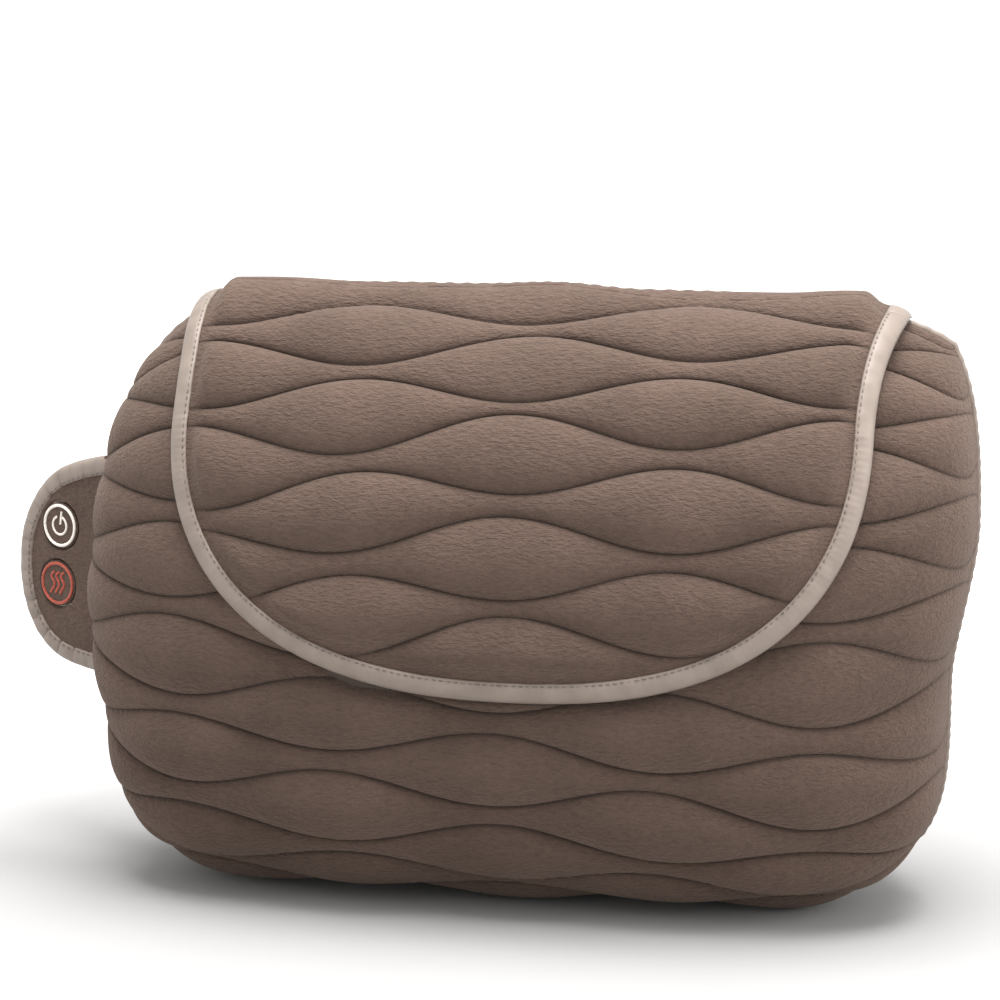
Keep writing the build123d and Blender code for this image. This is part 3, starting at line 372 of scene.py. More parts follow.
def at_grid(table: Array, rows: Array, columns: Array) -> Array:
    """Values of a grid at fractional rows and columns.

    Args:
        table: Grid of shape (rows, columns, 3).
        rows: Places down the grid, counted in rows.
        columns: Places across the grid, counted in columns.

    Returns:
        Values between the four nearest points.
    """
    r = np.clip(np.floor(rows).astype(int), 0, table.shape[0] - 2)
    c = np.clip(np.floor(columns).astype(int), 0, table.shape[1] - 2)
    p, q = (columns - c)[..., None], (rows - r)[..., None]
    upper = table[r, c] * (1 - p) + table[r, c + 1] * p
    lower = table[r + 1, c] * (1 - p) + table[r + 1, c + 1] * p
    return upper * (1 - q) + lower * q


def cad_box(node: str) -> tuple[Array, Array]:
    """Lowest and highest corner of a CAD node's box, in millimetres."""
    low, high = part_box(node)
    return np.array(low) / MM, np.array(high) / MM


# ---- materials ---------------------------------------------------------------------------------------
def linear(code: str) -> tuple[float, float, float, float]:
    """Turns an sRGB hex value into linear colour."""
    channels = [int(code[i : i + 2], 16) / 255 for i in (1, 3, 5)]
    return (*[c / 12.92 if c <= 0.04045 else ((c + 0.055) / 1.055) ** 2.4 for c in channels], 1.0)


class Ink:
    """A material's node tree, with one small way to add a node."""

    def __init__(self, name: str) -> None:
        """Starts an empty node material with a Principled shader."""
        self.material = bpy.data.materials.new(name)
        self.material.use_nodes = True
        self.tree = self.material.node_tree
        self.shader = self.tree.nodes["Principled BSDF"]
        self.place = self.add("ShaderNodeTexCoord").outputs["Object"]

    def add(self, kind: str, links: dict | None = None, **settings: object) -> bpy.types.Node:
        """Adds a node.

        Args:
            kind: Blender's name of the node type.
            links: Input name or number to a socket to link, or a value to set.
            **settings: Attributes of the node.

        Returns:
            The node.
        """
        node = self.tree.nodes.new(kind)
        for key, value in settings.items():
            setattr(node, key, value)
        for key, value in (links or {}).items():
            if isinstance(value, bpy.types.NodeSocket):
                self.tree.links.new(value, node.inputs[key])
            else:
                node.inputs[key].default_value = value
        return node

    def noise(self, size: float, detail: float = 2.0, stretch: tuple = (1.0, 1.0, 1.0),
              turn: tuple = (0, 0, 0)) -> bpy.types.NodeSocket:
        """Noise whose humps are about size millimetres wide; stretch lengthens them along an axis.

        Args:
            size: Width of a hump, in millimetres.
            detail: Octaves of finer noise.
            stretch: How much longer humps are along each axis.
            turn: Rotation of the pattern, in radians.

        Returns:
            The noise value.
        """
        scale = tuple(1.0 / (size * MM * s) for s in stretch)
        mapped = self.add("ShaderNodeMapping", {"Vector": self.place, "Rotation": turn, "Scale": scale})
        node = self.add("ShaderNodeTexNoise", {"Vector": mapped.outputs[0], "Scale": 1.0, "Detail": detail})
        return node.outputs[0]

    def ramp(self, value: bpy.types.NodeSocket, stops: Sequence[tuple[float, str]]) -> bpy.types.NodeSocket:
        """Colours a value through stops of place and hex colour.

        Args:
            value: The value to colour.
            stops: Pairs of place and hex colour.

        Returns:
            The colour.
        """
        node = self.add("ShaderNodeValToRGB", {0: value})
        elements = node.color_ramp.elements
        while len(elements) < len(stops):
            elements.new(0.5)
        for element, (place, code) in zip(elements, stops):
            element.position, element.color = place, linear(code)
        return node.outputs[0]

    def between(self, value: bpy.types.NodeSocket, low: float, high: float) -> bpy.types.NodeSocket:
        """Maps a value from 0..1 to low..high."""
        return self.add("ShaderNodeMapRange", {0: value, 3: low, 4: high}).outputs[0]

    def mix(self, factor, first, second, mode: str = "MIX") -> bpy.types.NodeSocket:
        """Mixes two colours.

        Args:
            factor: Share of the second colour.
            first: First colour.
            second: Second colour.
            mode: Blender's name of the blend.

        Returns:
            The mixed colour.
        """
        node = self.add("ShaderNodeMix", data_type="RGBA", blend_type=mode)
        for key, value in ((0, factor), (6, first), (7, second)):
            if isinstance(value, bpy.types.NodeSocket):
                self.tree.links.new(value, node.inputs[key])
            else:
                node.inputs[key].default_value = value
        return node.outputs[2]

    def math(self, operation: str, first, second=0.0) -> bpy.types.NodeSocket:
        """Combines two values."""
        return self.add("ShaderNodeMath", {0: first, 1: second}, operation=operation).outputs[0]

    def bump(self, height: bpy.types.NodeSocket, depth: float, under=None) -> bpy.types.NodeSocket:
        """Bump of a depth in millimetres, on top of another one.

        Args:
            height: Height from 0 to 1.
            depth: Depth in millimetres.
            under: Normal that this bump lies on.

        Returns:
            The normal.
        """
        links = {"Height": height, "Distance": depth * MM, "Strength": 1.0}
        if under is not None:
            links["Normal"] = under
        return self.add("ShaderNodeBump", links).outputs[0]

    def wire(self, **sockets: object) -> bpy.types.Material:
        """Links or sets sockets of the shader.

        Args:
            **sockets: Sockets by name, with underscores for spaces, each with a socket or a value.

        Returns:
            The finished material.
        """
        for key, value in sockets.items():
            socket = self.shader.inputs[key.replace("_", " ")]
            if isinstance(value, bpy.types.NodeSocket):
                self.tree.links.new(value, socket)
            else:
                socket.default_value = value
        return self.material


@dataclass(frozen=True)
class MicroFleece:
    """Brushed polyester micro-fleece: short dense pile in small tufts, matt with a soft sheen."""

    name: str = "micro_fleece"
    shade: str = "#59483f"
    light: str = "#5e4c43"
    dark: str = "#53433a"
    stitch_line_shade: str = "#281f1a"  # painted shade along the stitch lines, where the creases between the puffs fall into shade
    tuft: float = 1.5  # width of a clump of pile
    hair: float = 0.55  # drawn coarser than the real 0.1 mm pile, so that it shows
    sheen: float = 0.25

    def build(self) -> bpy.types.Material:
        """Makes the material.

        Returns:
            The node material.
        """
        ink = Ink(self.name)
        patches = ink.noise(38.0, 3.0)
        tufts = ink.noise(self.tuft, 2.0, (2.2, 1.6, 0.8), (0, radians(22), 0))
        hairs = ink.noise(self.hair, 3.0, (2.8, 1.6, 0.8), (0, radians(28), 0))
        base = ink.ramp(patches, ((0.3, self.dark), (0.5, self.shade), (0.72, self.light)))
        streak = ink.ramp(hairs, ((0.25, "#9f9f9f"), (0.5, "#dedede"), (0.78, "#ffffff")))
        colour = ink.mix(0.4, base, streak, "MULTIPLY")
        clumps = ink.ramp(tufts, ((0.3, "#a8a8a8"), (0.6, "#ffffff")))
        colour = ink.mix(0.3, colour, clumps, "MULTIPLY")
        # Painted shade: the fleece turns near-black along the stitch lines, where the creases fall into shade.
        crease_shading = ink.add("ShaderNodeAttribute", attribute_name="crease_shade_share").outputs["Fac"]
        colour = ink.mix(ink.between(crease_shading, 0.0, 0.6), colour, linear(self.stitch_line_shade))
        pile = ink.bump(hairs, 0.7, ink.bump(tufts, 1.1))
        return ink.wire(Base_Color=colour, Roughness=0.92, Normal=pile, Sheen_Weight=self.sheen,
                        Sheen_Roughness=0.45, Sheen_Tint=linear("#cbb7a8"), Specular_IOR_Level=0.25)


@dataclass(frozen=True)
class SatinTape:
    """Folded polyester satin bias tape: smooth, pale, with a soft gloss across fine ribs."""

    name: str = "satin_tape"
    shade: str = "#82766d"
    dark: str = "#766a61"

    def build(self) -> bpy.types.Material:
        """Makes the material.

        Returns:
            The node material.
        """
        ink = Ink(self.name)
        patches = ink.noise(9.0, 3.0)
        threads = ink.noise(0.45, 1.0, (1.0, 1.0, 1.0))
        colour = ink.ramp(patches, ((0.3, self.dark), (0.7, self.shade)))
        rough = ink.between(threads, 0.42, 0.56)
        return ink.wire(Base_Color=colour, Roughness=rough, Normal=ink.bump(threads, 0.06),
                        Sheen_Weight=0.06, Sheen_Roughness=0.35, Specular_IOR_Level=0.4)


@dataclass(frozen=True)
class WovenCloth:
    """Plain woven polyester: two sets of threads that pass over and under each other."""

    name: str = "woven_cloth"
    shade: str = "#54463d"
    dark: str = "#4a3d35"
    thread: float = 0.7  # pitch of the threads, drawn coarser than the real 0.3 mm

    def build(self) -> bpy.types.Material:
        """Makes the material.

        Returns:
            The node material.
        """
        ink = Ink(self.name)
        warp = ink.noise(self.thread, 1.0, (1.0, 1.0, 9.0))
        weft = ink.noise(self.thread, 1.0, (9.0, 9.0, 1.0))
        weave = ink.math("ADD", ink.math("MULTIPLY", warp, 0.5), ink.math("MULTIPLY", weft, 0.5))
        patches = ink.noise(24.0, 3.0)
        base = ink.ramp(patches, ((0.3, self.dark), (0.7, self.shade)))
        colour = ink.mix(0.35, base, ink.ramp(weave, ((0.35, "#848484"), (0.62, "#ffffff"))), "MULTIPLY")
        return ink.wire(Base_Color=colour, Roughness=0.85, Normal=ink.bump(weave, 0.5), Sheen_Weight=0.1,
                        Sheen_Roughness=0.5, Specular_IOR_Level=0.3)


@dataclass(frozen=True)
class SpacerMesh:
    """Knitted spacer mesh: an open net of small round cells, with painted shade in each hole for the unlit inside
    of the pillow.
    """

    name: str = "spacer_mesh"
    shade: str = "#3f342d"
    hole_shade: str = "#15110e"
    cell: float = 2.2

    def build(self) -> bpy.types.Material:
        """Makes the material.

        Returns:
            The node material.
        """
        ink = Ink(self.name)
        cells = ink.add("ShaderNodeTexVoronoi",
                        {"Vector": ink.place, "Scale": 1 / (self.cell * MM), "Randomness": 0.25})
        reach = cells.outputs["Distance"]
        # Painted shade: each cell's middle is near-black, standing in for the unlit space behind the net.
        colour = ink.ramp(reach, ((0.16, self.hole_shade), (0.34, self.shade)))
        return ink.wire(Base_Color=colour, Roughness=0.8, Normal=ink.bump(reach, 0.5))


@dataclass(frozen=True)
class SewingThread:
    """Twisted polyester sewing or embroidery thread."""

    name: str
    shade: str
    dark: str

    def build(self) -> bpy.types.Material:
        """Makes the material.

        Returns:
            The node material.
        """
        ink = Ink(self.name)
        twist = ink.noise(0.4, 2.0, (2.0, 1.0, 1.0))
        colour = ink.ramp(twist, ((0.3, self.dark), (0.65, self.shade)))
        return ink.wire(Base_Color=colour, Roughness=0.55, Normal=ink.bump(twist, 0.08), Sheen_Weight=0.2)


@dataclass(frozen=True)
class MouldedPlastic:
    """Injection-moulded ABS or nylon with a fine spark-eroded grain."""

    name: str
    shade: str
    dark: str
    rough: float = 0.45

    def build(self) -> bpy.types.Material:
        """Makes the material.

        Returns:
            The node material.
        """
        ink = Ink(self.name)
        grain = ink.noise(0.5, 2.0)
        colour = ink.ramp(ink.noise(18.0, 3.0), ((0.3, self.dark), (0.7, self.shade)))
        return ink.wire(Base_Color=colour, Roughness=ink.between(grain, self.rough - 0.07, self.rough + 0.07),
                        Normal=ink.bump(grain, 0.03))


@dataclass(frozen=True)
class PlainMetal:
    """Drawn, plated or sintered metal with fine marks along one direction."""

    name: str
    shade: str
    dark: str
    rough: float = 0.35

    def build(self) -> bpy.types.Material:
        """Makes the material.

        Returns:
            The node material.
        """
        ink = Ink(self.name)
        marks = ink.noise(0.5, 2.0, (8.0, 1.0, 1.0))
        colour = ink.ramp(marks, ((0.3, self.dark), (0.7, self.shade)))
        rough = ink.between(marks, self.rough - 0.08, self.rough + 0.1)
        return ink.wire(Base_Color=colour, Metallic=1.0, Roughness=rough, Normal=ink.bump(marks, 0.02))


@dataclass(frozen=True)
class FoamRubber:
    """Open-cell polyurethane foam: pale, matt and full of small pores, with painted shade in their hollows."""

    name: str = "polyurethane_foam"

    def build(self) -> bpy.types.Material:
        """Makes the material.

        Returns:
            The node material.
        """
        ink = Ink(self.name)
        cells = ink.add("ShaderNodeTexVoronoi", {"Vector": ink.place, "Scale": 1 / (1.4 * MM)})
        pores = cells.outputs["Distance"]
        # Painted shade: each pore is darker towards its middle, as if its hollow lay in shade.
        colour = ink.ramp(pores, ((0.1, "#b4aa96"), (0.5, "#ddd5c5")))
        return ink.wire(Base_Color=colour, Roughness=0.95, Normal=ink.bump(pores, 0.4))


@dataclass
class Wardrobe:
    """All finishes of the pillow, made once."""

    made: dict[str, bpy.types.Material] = field(default_factory=dict)

    def __post_init__(self) -> None:
        """Builds every finish."""
        finishes = (
            MicroFleece(),
            SatinTape(),
            WovenCloth(),
            WovenCloth("flap_lining", "#5f4f45", "#4d4037", 0.8),
            WovenCloth("zip_tape_twill", "#40352e", "#332a24", 0.6),
            SpacerMesh(),
            SewingThread("beige_thread", "#6f6157", "#3f342d"),
            SewingThread("white_thread", "#f2ece4", "#c8bdb2"),
            SewingThread("red_thread", "#b04326", "#7c2b17"),
            MouldedPlastic("nylon_coil", "#3a2f29", "#2a221e", 0.4),
            MouldedPlastic("black_abs", "#1c1b1b", "#121111"),
            MouldedPlastic("ivory_abs", "#dad6cd", "#c8c3b8"),
            MouldedPlastic("acetal_gear", "#ece8de", "#dad5c8", 0.35),
            MouldedPlastic("node_abs", "#7c3128", "#5d231c", 0.3),
            MouldedPlastic("cable_pvc", "#1f1e1e", "#141313", 0.5),
            MouldedPlastic("circuit_laminate", "#235c3c", "#184029", 0.4),
            MouldedPlastic("red_lens", "#b5382a", "#8d271c", 0.2),
            PlainMetal("zinc_plate", "#8f8b86", "#5f5b57", 0.38),
            PlainMetal("mild_steel", "#9c9b99", "#7a7977", 0.35),
            PlainMetal("sintered_bronze", "#93714a", "#6d5132", 0.5),
            PlainMetal("turned_brass", "#b8954f", "#93733a", 0.3),
            PlainMetal("ferrite", "#3d3c3e", "#2a292b", 0.6),
            FoamRubber(),
        )
        for finish in finishes:
            self.made[finish.name] = finish.build()

    def dress(self, piece: bpy.types.Object, *names: str) -> None:
        """Gives a piece its materials, in slot order."""
        piece.data.materials.clear()
        for name in names:
            piece.data.materials.append(self.made[name])


# ---- pillow form -------------------------------------------------------------------------------------
class Side(Enum):
    """Half of the pillow, in front of or behind the side seam."""

    FRONT = -1
    BACK = 1


@dataclass(frozen=True)
class Quilt:
    """Wavy quilting: neighbouring stitch lines wave against each other and leave lens-shaped puffs."""

    spacing: float = 20.6
    amplitude: float = 6.4
    wavelength: float = 140.0
    crest_at: float = -1.0  # place across of a crest of the even lines
    first_line: float = 0.0  # place down of line number 0
    rise: float = 6.4
    seed: int = 3
    plain_before: int = -99  # lines with a lower number are straight, the last of them at 0 down
    on_flap: bool = False

    def drift(self, number: Array, across: Array) -> Array:
        """How far down a line is displaced, because the cloth is sewn and stuffed a little askew.

        Args:
            number: Number of the line.
            across: Places across.

        Returns:
            Displacement down, in millimetres.
        """
        if self.on_flap:
            late = np.clip((number - 2.5) / 1.5, 0, 1)
            early_rise = 7.5 * smoothstep(-135.0, 60.0, across) * (1 - late)
            return -early_rise - 10.8 * smoothstep(-135.0, 0.0, across) * late
        below = self.first_line + number * self.spacing
        slant = 11.0 * smoothstep(0.0, 200.0, across) * smoothstep(0.0, 80.0, below)
        return 3.4 * smoothstep(65.0, 95.0, below) + slant

    def line(self, number: Array, across: Array) -> Array:
        """Place down of a stitch line.

        Args:
            number: Number of the line.
            across: Places across.

        Returns:
            Distances down.
        """
        wave = np.cos((across - self.crest_at) * tau / self.wavelength)
        sway = 0.6 * np.sin(across / 41.0 + number * 2.1) + 0.4 * np.sin(across / 23.0 + number * 1.3)
        level = self.first_line + number * self.spacing + self.drift(number, across) + sway
        wavy = level - np.where(number % 2 == 0, 1, -1) * self.amplitude * wave
        plain = (number - self.plain_before + 1) * self.spacing * 1.5
        return np.where(number < self.plain_before, plain, wavy)

    def rows(self, across: Array, start: Array, end: Array) -> Array:
        """Rows of points that follow the stitch lines, close together beside each line.

        Args:
            across: Places of the columns.
            start: Where each column begins.
            end: Where each column ends.

        Returns:
            Distances down, shape (rows, columns); rows past a column's ends lie on them.
        """
        first = int((np.min(start) - self.first_line) / self.spacing) - 2
        last = int((np.max(end) - self.first_line) / self.spacing) + 2
        shares = 0.5 - 0.5 * np.cos(np.linspace(0, pi, 15)[:-1])
        down = []
        for number in range(first, last):
            upper, lower = self.line(np.array(number), across), self.line(np.array(number + 1), across)
            down += [upper + share * (lower - upper) for share in shares]
        down = np.clip(np.stack(down), start, end)
        used = (down > np.min(start)).any(axis=1) & (down < np.max(end)).any(axis=1)
        shape = (1, len(across))
        return np.concatenate([np.broadcast_to(start, shape), down[used], np.broadcast_to(end, shape)])

    def height(self, across: Array, down: Array) -> Array:
        """Height of the puffed surface above its stitch lines.

        Args:
            across: Distance across the cloth, in millimetres.
            down: Distance down the cloth, in millimetres.

        Returns:
            Heights from 0 at a stitch line up to about rise.
        """
        number = np.floor((down - self.first_line) / self.spacing)
        for _ in range(3):
            number = np.where(self.line(number, across) > down, number - 1, number)
        for _ in range(3):
            number = np.where(self.line(number + 1, across) <= down, number + 1, number)
        upper, lower = self.line(number, across), self.line(number + 1, across)
        gap = np.maximum(lower - upper, 1.0)
        place = (down - upper) / gap
        widest = self.spacing + 2 * self.amplitude
        place = np.clip(place, 0, 1)
        full = self.rise * (gap / widest) ** 0.85
        full = full * (1 + 0.10 * np.sin(number * 2.7) + 0.12 * ripple(across, down, self.seed, 34.0))
        dome = (1 - np.abs(2 * place - 1) ** 2.1) ** 0.64
        edge = np.clip(np.minimum(place, 1 - place), 0, 1) * gap
        unrest = ripple(across * 2.3, down * 0.6 + number * 31, self.seed + 1, 4.4)
        pull = 0.22 * np.exp(-((edge - 3.2) / 2.6) ** 2) * unrest
        return full * dome + pull * smoothstep(0.4, 2.0, edge)

    def crease_shade_share(self, across: Array, down: Array) -> Array:
        """1 on a stitch line, falling to 0 a little away from it; it sets where the fleece is painted darker as
        shade in the creases.

        Args:
            across: Places across.
            down: Distances down.

        Returns:
            Shares from 0 to 1.
        """
        nearest = np.full(np.shape(down), 99.0)
        guess = np.floor((down - self.first_line) / self.spacing)
        for shift in (-2, -1, 0, 1, 2):
            nearest = np.minimum(nearest, np.abs(self.line(guess + shift, across) - down))
        return np.exp(-((nearest / 0.85) ** 2))


@dataclass
class PillowForm:
    """The stuffed pillow's surface, worked out from the CAD covers' boxes.

    Each lobe is widest at one height. Its side view is one rounded profile above that height
    and another below.
    """

    crown: float = 5.0
    top_drop: float = 1.5  # the seam's top lies this much below the CAD cover's crown
    wide_share: float = 0.475  # height of the fullest place, as a share of the whole
    across_power: tuple[float, float] = (3.5, 5.2)  # front and back
    upper_power: tuple[float, float] = (2.2, 4.2)
    lower_power: tuple[float, float] = (2.85, 4.2)
    half: float = field(init=False)
    seam_y: float = field(init=False)
    top_z: float = field(init=False)
    wide_z: float = field(init=False)
    upper: float = field(init=False)
    lower: float = field(init=False)
    depth: dict[Side, float] = field(init=False)

    def __post_init__(self) -> None:
        """Reads the CAD covers' boxes."""
        low, high = cad_box("front_cover")
        self.half = (high[0] - low[0]) / 2
        self.seam_y = high[1]
        self.top_z = high[2] - self.top_drop
        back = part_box("back_cover")[1][1] / MM - self.seam_y + 0.6
        self.depth = {Side.FRONT: self.seam_y - low[1] + self.crown, Side.BACK: back}
        self.wide_z = self.wide_share * high[2]
        self.upper = self.top_z - self.wide_z
        self.lower = self.wide_z

    @staticmethod
    def profile(half: float, depth: float, power: float) -> tuple[Array, Array, Array]:
        """A rounded profile by arc length.

        Args:
            half: Half width.
            depth: Depth of the lobe.
            power: Roundness; 2 is an ellipse, and more is squarer.

        Returns:
            Arc length from the middle, share of the width and share of the depth.
        """
        turn = np.linspace(0, pi / 2, 4000)
        wide, deep = np.sin(turn) ** (2 / power), np.cos(turn) ** (2 / power)
        steps = np.hypot(np.diff(wide) * half, np.diff(deep) * depth)
        return np.concatenate([[0], np.cumsum(steps)]), wide, deep

    def profiles(self, side: Side) -> tuple:
        """The profiles across, up and down from the fullest place.

        Args:
            side: Front or back lobe.

        Returns:
            Three profiles, as profile returns them.
        """
        index = 0 if side is Side.FRONT else 1
        deep = self.depth[side]
        return (self.profile(self.half, deep, self.across_power[index]),
                self.profile(self.upper, deep, self.upper_power[index]),
                self.profile(self.lower, deep, self.lower_power[index]))

    def half_width(self, up: Array, right: Array) -> Array:
        """Half width, which bulges and differs a little on each side.

        Args:
            up: Share of the height, -1 at the bottom and 1 at the top.
            right: Above 0 on the right side.

        Returns:
            Half widths, in millimetres.
        """
        left_in = np.where(up > 0, 17.0 * np.abs(up) ** 1.7, 6.5 * smoothstep(0.0, -0.6, up))
        right_in = np.where(up > 0.4, 9.0 * np.abs(up - 0.4) ** 2, 10.5 * smoothstep(0.4, -0.25, up))
        left_side = self.half + 1.5 - left_in
        right_side = self.half - 0.5 - right_in
        return np.where(right > 0, right_side, left_side)

    def corners(self, up: Array, across: Array) -> tuple[Array, Array]:
        """How far each corner is drawn in sideways and up or down.

        Args:
            up: Share of the height, -1 to 1.
            across: Share of the width, -1 to 1.

        Returns:
            Shares by which the corner is drawn in.
        """
        sideways = np.where(up > 0, np.where(across > 0, 0.045, 0.070), np.where(across > 0, 0.125, 0.105))
        upright = np.where(up > 0, np.where(across > 0, 0.105, 0.150), np.where(across > 0, 0.150, 0.140))
        return sideways, upright

    def surface(self, side: Side, across: Array, up: Array) -> Array:
        """Points of the smooth form.

        Args:
            side: Front or back lobe.
            across: Arc length across from the middle.
            up: Arc length up from the fullest place.

        Returns:
            Points of shape (..., 3).
        """
        (reach_a, wide_a, deep_a), (reach_u, wide_u, deep_u), (reach_l, wide_l, deep_l) = self.profiles(side)
        high, away = up > 0, np.abs(up)
        a = np.sign(across) * np.interp(np.abs(across), reach_a, wide_a)
        b = np.where(high, np.interp(away, reach_u, wide_u), -np.interp(away, reach_l, wide_l))
        deep = np.where(high, np.interp(away, reach_u, deep_u), np.interp(away, reach_l, deep_l))
        deep = deep * np.interp(np.abs(across), reach_a, deep_a)
        sideways, upright = self.corners(b, a)
        x = a * self.half_width(b, a) * (1 - sideways * np.abs(b) ** 6)
        z = self.wide_z + b * np.where(high, self.upper, self.lower) * (1 - upright * np.abs(a) ** 9)
        if side is Side.BACK:
            drawn_in = 1 - 0.055 * smoothstep(0.0, 0.6, deep)
            x, z = x * drawn_in, np.where(high, self.wide_z + (z - self.wide_z) * drawn_in, z)
        z = 0.5 * (z + np.sqrt(z * z + 30.0)) - 0.3
        y = self.seam_y + side.value * self.depth[side] * deep
        return np.stack([x, y, z], axis=-1)

    def reach(self, side: Side) -> tuple[float, float, float]:
        """Arc lengths from the fullest place to the side seam, the top seam and the bottom seam."""
        across, upper, lower = self.profiles(side)
        return across[0][-1], upper[0][-1], lower[0][-1]

    def seam(self, turns: Array, sign: int) -> Array:
        """Points of the seam line of one side.

        Args:
            turns: Place along the seam: -1 to 1 from the bottom to the top, and 1 to 2 inwards along the top.
            sign: 1 for the right side and -1 for the left.

        Returns:
            Points of shape (n, 3).
        """
        (reach_a, wide_a, _), (reach_u, wide_u, _), (reach_l, wide_l, _) = self.profiles(Side.FRONT)
        share = np.minimum(turns, 1.0)
        up = np.where(share > 0, np.interp(share, wide_u, reach_u), -np.interp(-share, wide_l, reach_l))
        across = sign * np.interp(np.where(turns <= 1, 1.0, 2.0 - turns), wide_a, reach_a)
        return self.surface(Side.FRONT, across, up)


# ---- covers ------------------------------------------------------------------------------------------
@dataclass
class Covers:
    """Front and back covers, the mesh window over the massage nodes and the bound side seams."""

    form: PillowForm
    wardrobe: Wardrobe
    step: float = 2.1
    back_step: float = 2.6
    quilt: Quilt = Quilt(spacing=20.9, amplitude=6.25, wavelength=142.0, first_line=-82.6)

    def grid(self, side: Side, step: float) -> tuple[Array, Array]:
        """Arc-length coordinates of an even grid over one lobe, rows from the top down.

        Args:
            side: Front or back lobe.
            step: Distance between points.

        Returns:
            Arc lengths across and up.
        """
        reach_a, top, bottom = self.form.reach(side)
        across = np.linspace(-reach_a, reach_a, int(2 * reach_a / step))
        up = np.linspace(top, -bottom, int((top + bottom) / step))
        return np.meshgrid(across, up)

    def rim(self, side: Side, across: Array, up: Array) -> Array:
        """Distance along the cloth to the nearest seam.

        Args:
            side: Front or back lobe.
            across: Arc length across.
            up: Arc length up.

        Returns:
            Distances, in millimetres.
        """
        reach_a, top, bottom = self.form.reach(side)
        return np.minimum(reach_a - np.abs(across), np.minimum(top - up, bottom + up))

    @staticmethod
    def close_back(name: str, points: Array, normal: Array, height: Array,
                   thickness: float) -> bpy.types.Object:
        """Raises a cover grid by its heights, gives it a thickness inwards and closes its rim.

        Args:
            name: Name of the piece.
            points: Grid of shape (rows, columns, 3).
            normal: Unit normals of the grid.
            height: How far each point is raised.
            thickness: Thickness inwards.

        Returns:
            The closed cover.
        """
        outer = points + normal * height[..., None]
        return slab(name, outer, outer - normal * thickness)

    def make_front(self) -> bpy.types.Object:
        """Quilted front cover, which wraps round to the side seams.

        Returns:
            The finished piece.
        """
        reach_a, top, bottom = self.form.reach(Side.FRONT)
        columns = np.linspace(-reach_a, reach_a, int(2 * reach_a / self.step))
        down = self.quilt.rows(columns, np.full_like(columns, -top), np.full_like(columns, bottom))
        across, up = np.broadcast_to(columns, down.shape), -down
        points = self.form.surface(Side.FRONT, across, up)
        edge = self.rim(Side.FRONT, across, up)
        gathers = 0.5 * ripple(across * 1.2, up * 1.2, 11, 5.0) * np.exp(-edge / 7.0)
        window = self.window_mask(points)
        side = 0.14 + 0.86 * smoothstep(14.0, 95.0, reach_a - np.abs(across))
        puff = self.quilt.height(across, down) * side - self.quilt.rise * 0.75 * side
        raised = puff * smoothstep(0.0, 15.0, edge) + gathers * smoothstep(0, 2, edge)
        height = raised * (1 - window) - 5.4 * window
        levels = np.linspace(top, -bottom, 200)
        smooth = self.form.surface(Side.FRONT, *np.meshgrid(columns, levels))
        piece = self.close_back("front_cover_quilt", points, self.normals_at(smooth, levels, up), height, 2.0)
        # The stitch-line share sets the fleece's painted shade in the creases; there is none in the window.
        paint_crease_shade(piece, self.quilt.crease_shade_share(across, down) * (1 - window))
        merge(piece)
        self.wardrobe.dress(piece, "micro_fleece", "woven_cloth")
        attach(piece, "body")
        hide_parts("front_cover", "front_foam")
        return piece

    @staticmethod
    def normals_at(smooth: Array, levels: Array, up: Array) -> Array:
        """Normals of an even grid, read at other places up each column.

        Args:
            smooth: Points of the even grid.
            levels: Heights of the grid's rows.
            up: Places up where the normals are read.

        Returns:
            Unit normals.
        """
        normal = normals_of(smooth)
        rows = (levels[0] - up) / (levels[0] - levels[-1]) * (len(smooth) - 1)
        low = np.clip(np.floor(rows).astype(int), 0, len(smooth) - 2)
        part = (rows - low)[..., None]
        columns = np.broadcast_to(np.arange(smooth.shape[1]), low.shape)
        return normal[low, columns] * (1 - part) + normal[low + 1, columns] * part

    def window_distance(self, points: Array) -> Array:
        """Distance outside the window's stadium outline, negative inside.

        Args:
            points: Points of shape (..., 3).

        Returns:
            Distances, in millimetres.
        """
        middle, half = self.window()
        beyond = np.maximum(np.abs(points[..., 0] - middle[0]) - (half[0] - half[2]), 0)
        return np.hypot(beyond, points[..., 2] - middle[2]) - half[2]

    @staticmethod
    def window() -> tuple[Array, Array]:
        """Middle and half size of the window; its edge is rolled in over the CAD screen's edge.

        Returns:
            Middle and half size, in millimetres.
        """
        low, high = cad_box("node_screen")
        return (low + high) / 2 + np.array([0, 0, 2.5]), (high - low) / 2 - np.array([6.0, 0.0, 6.5])

    def window_mask(self, points: Array) -> Array:
        """1 inside the window over the massage nodes, 0 outside."""
        return smoothstep(4.0, -1.0, self.window_distance(points)) * (points[..., 1] < -40)

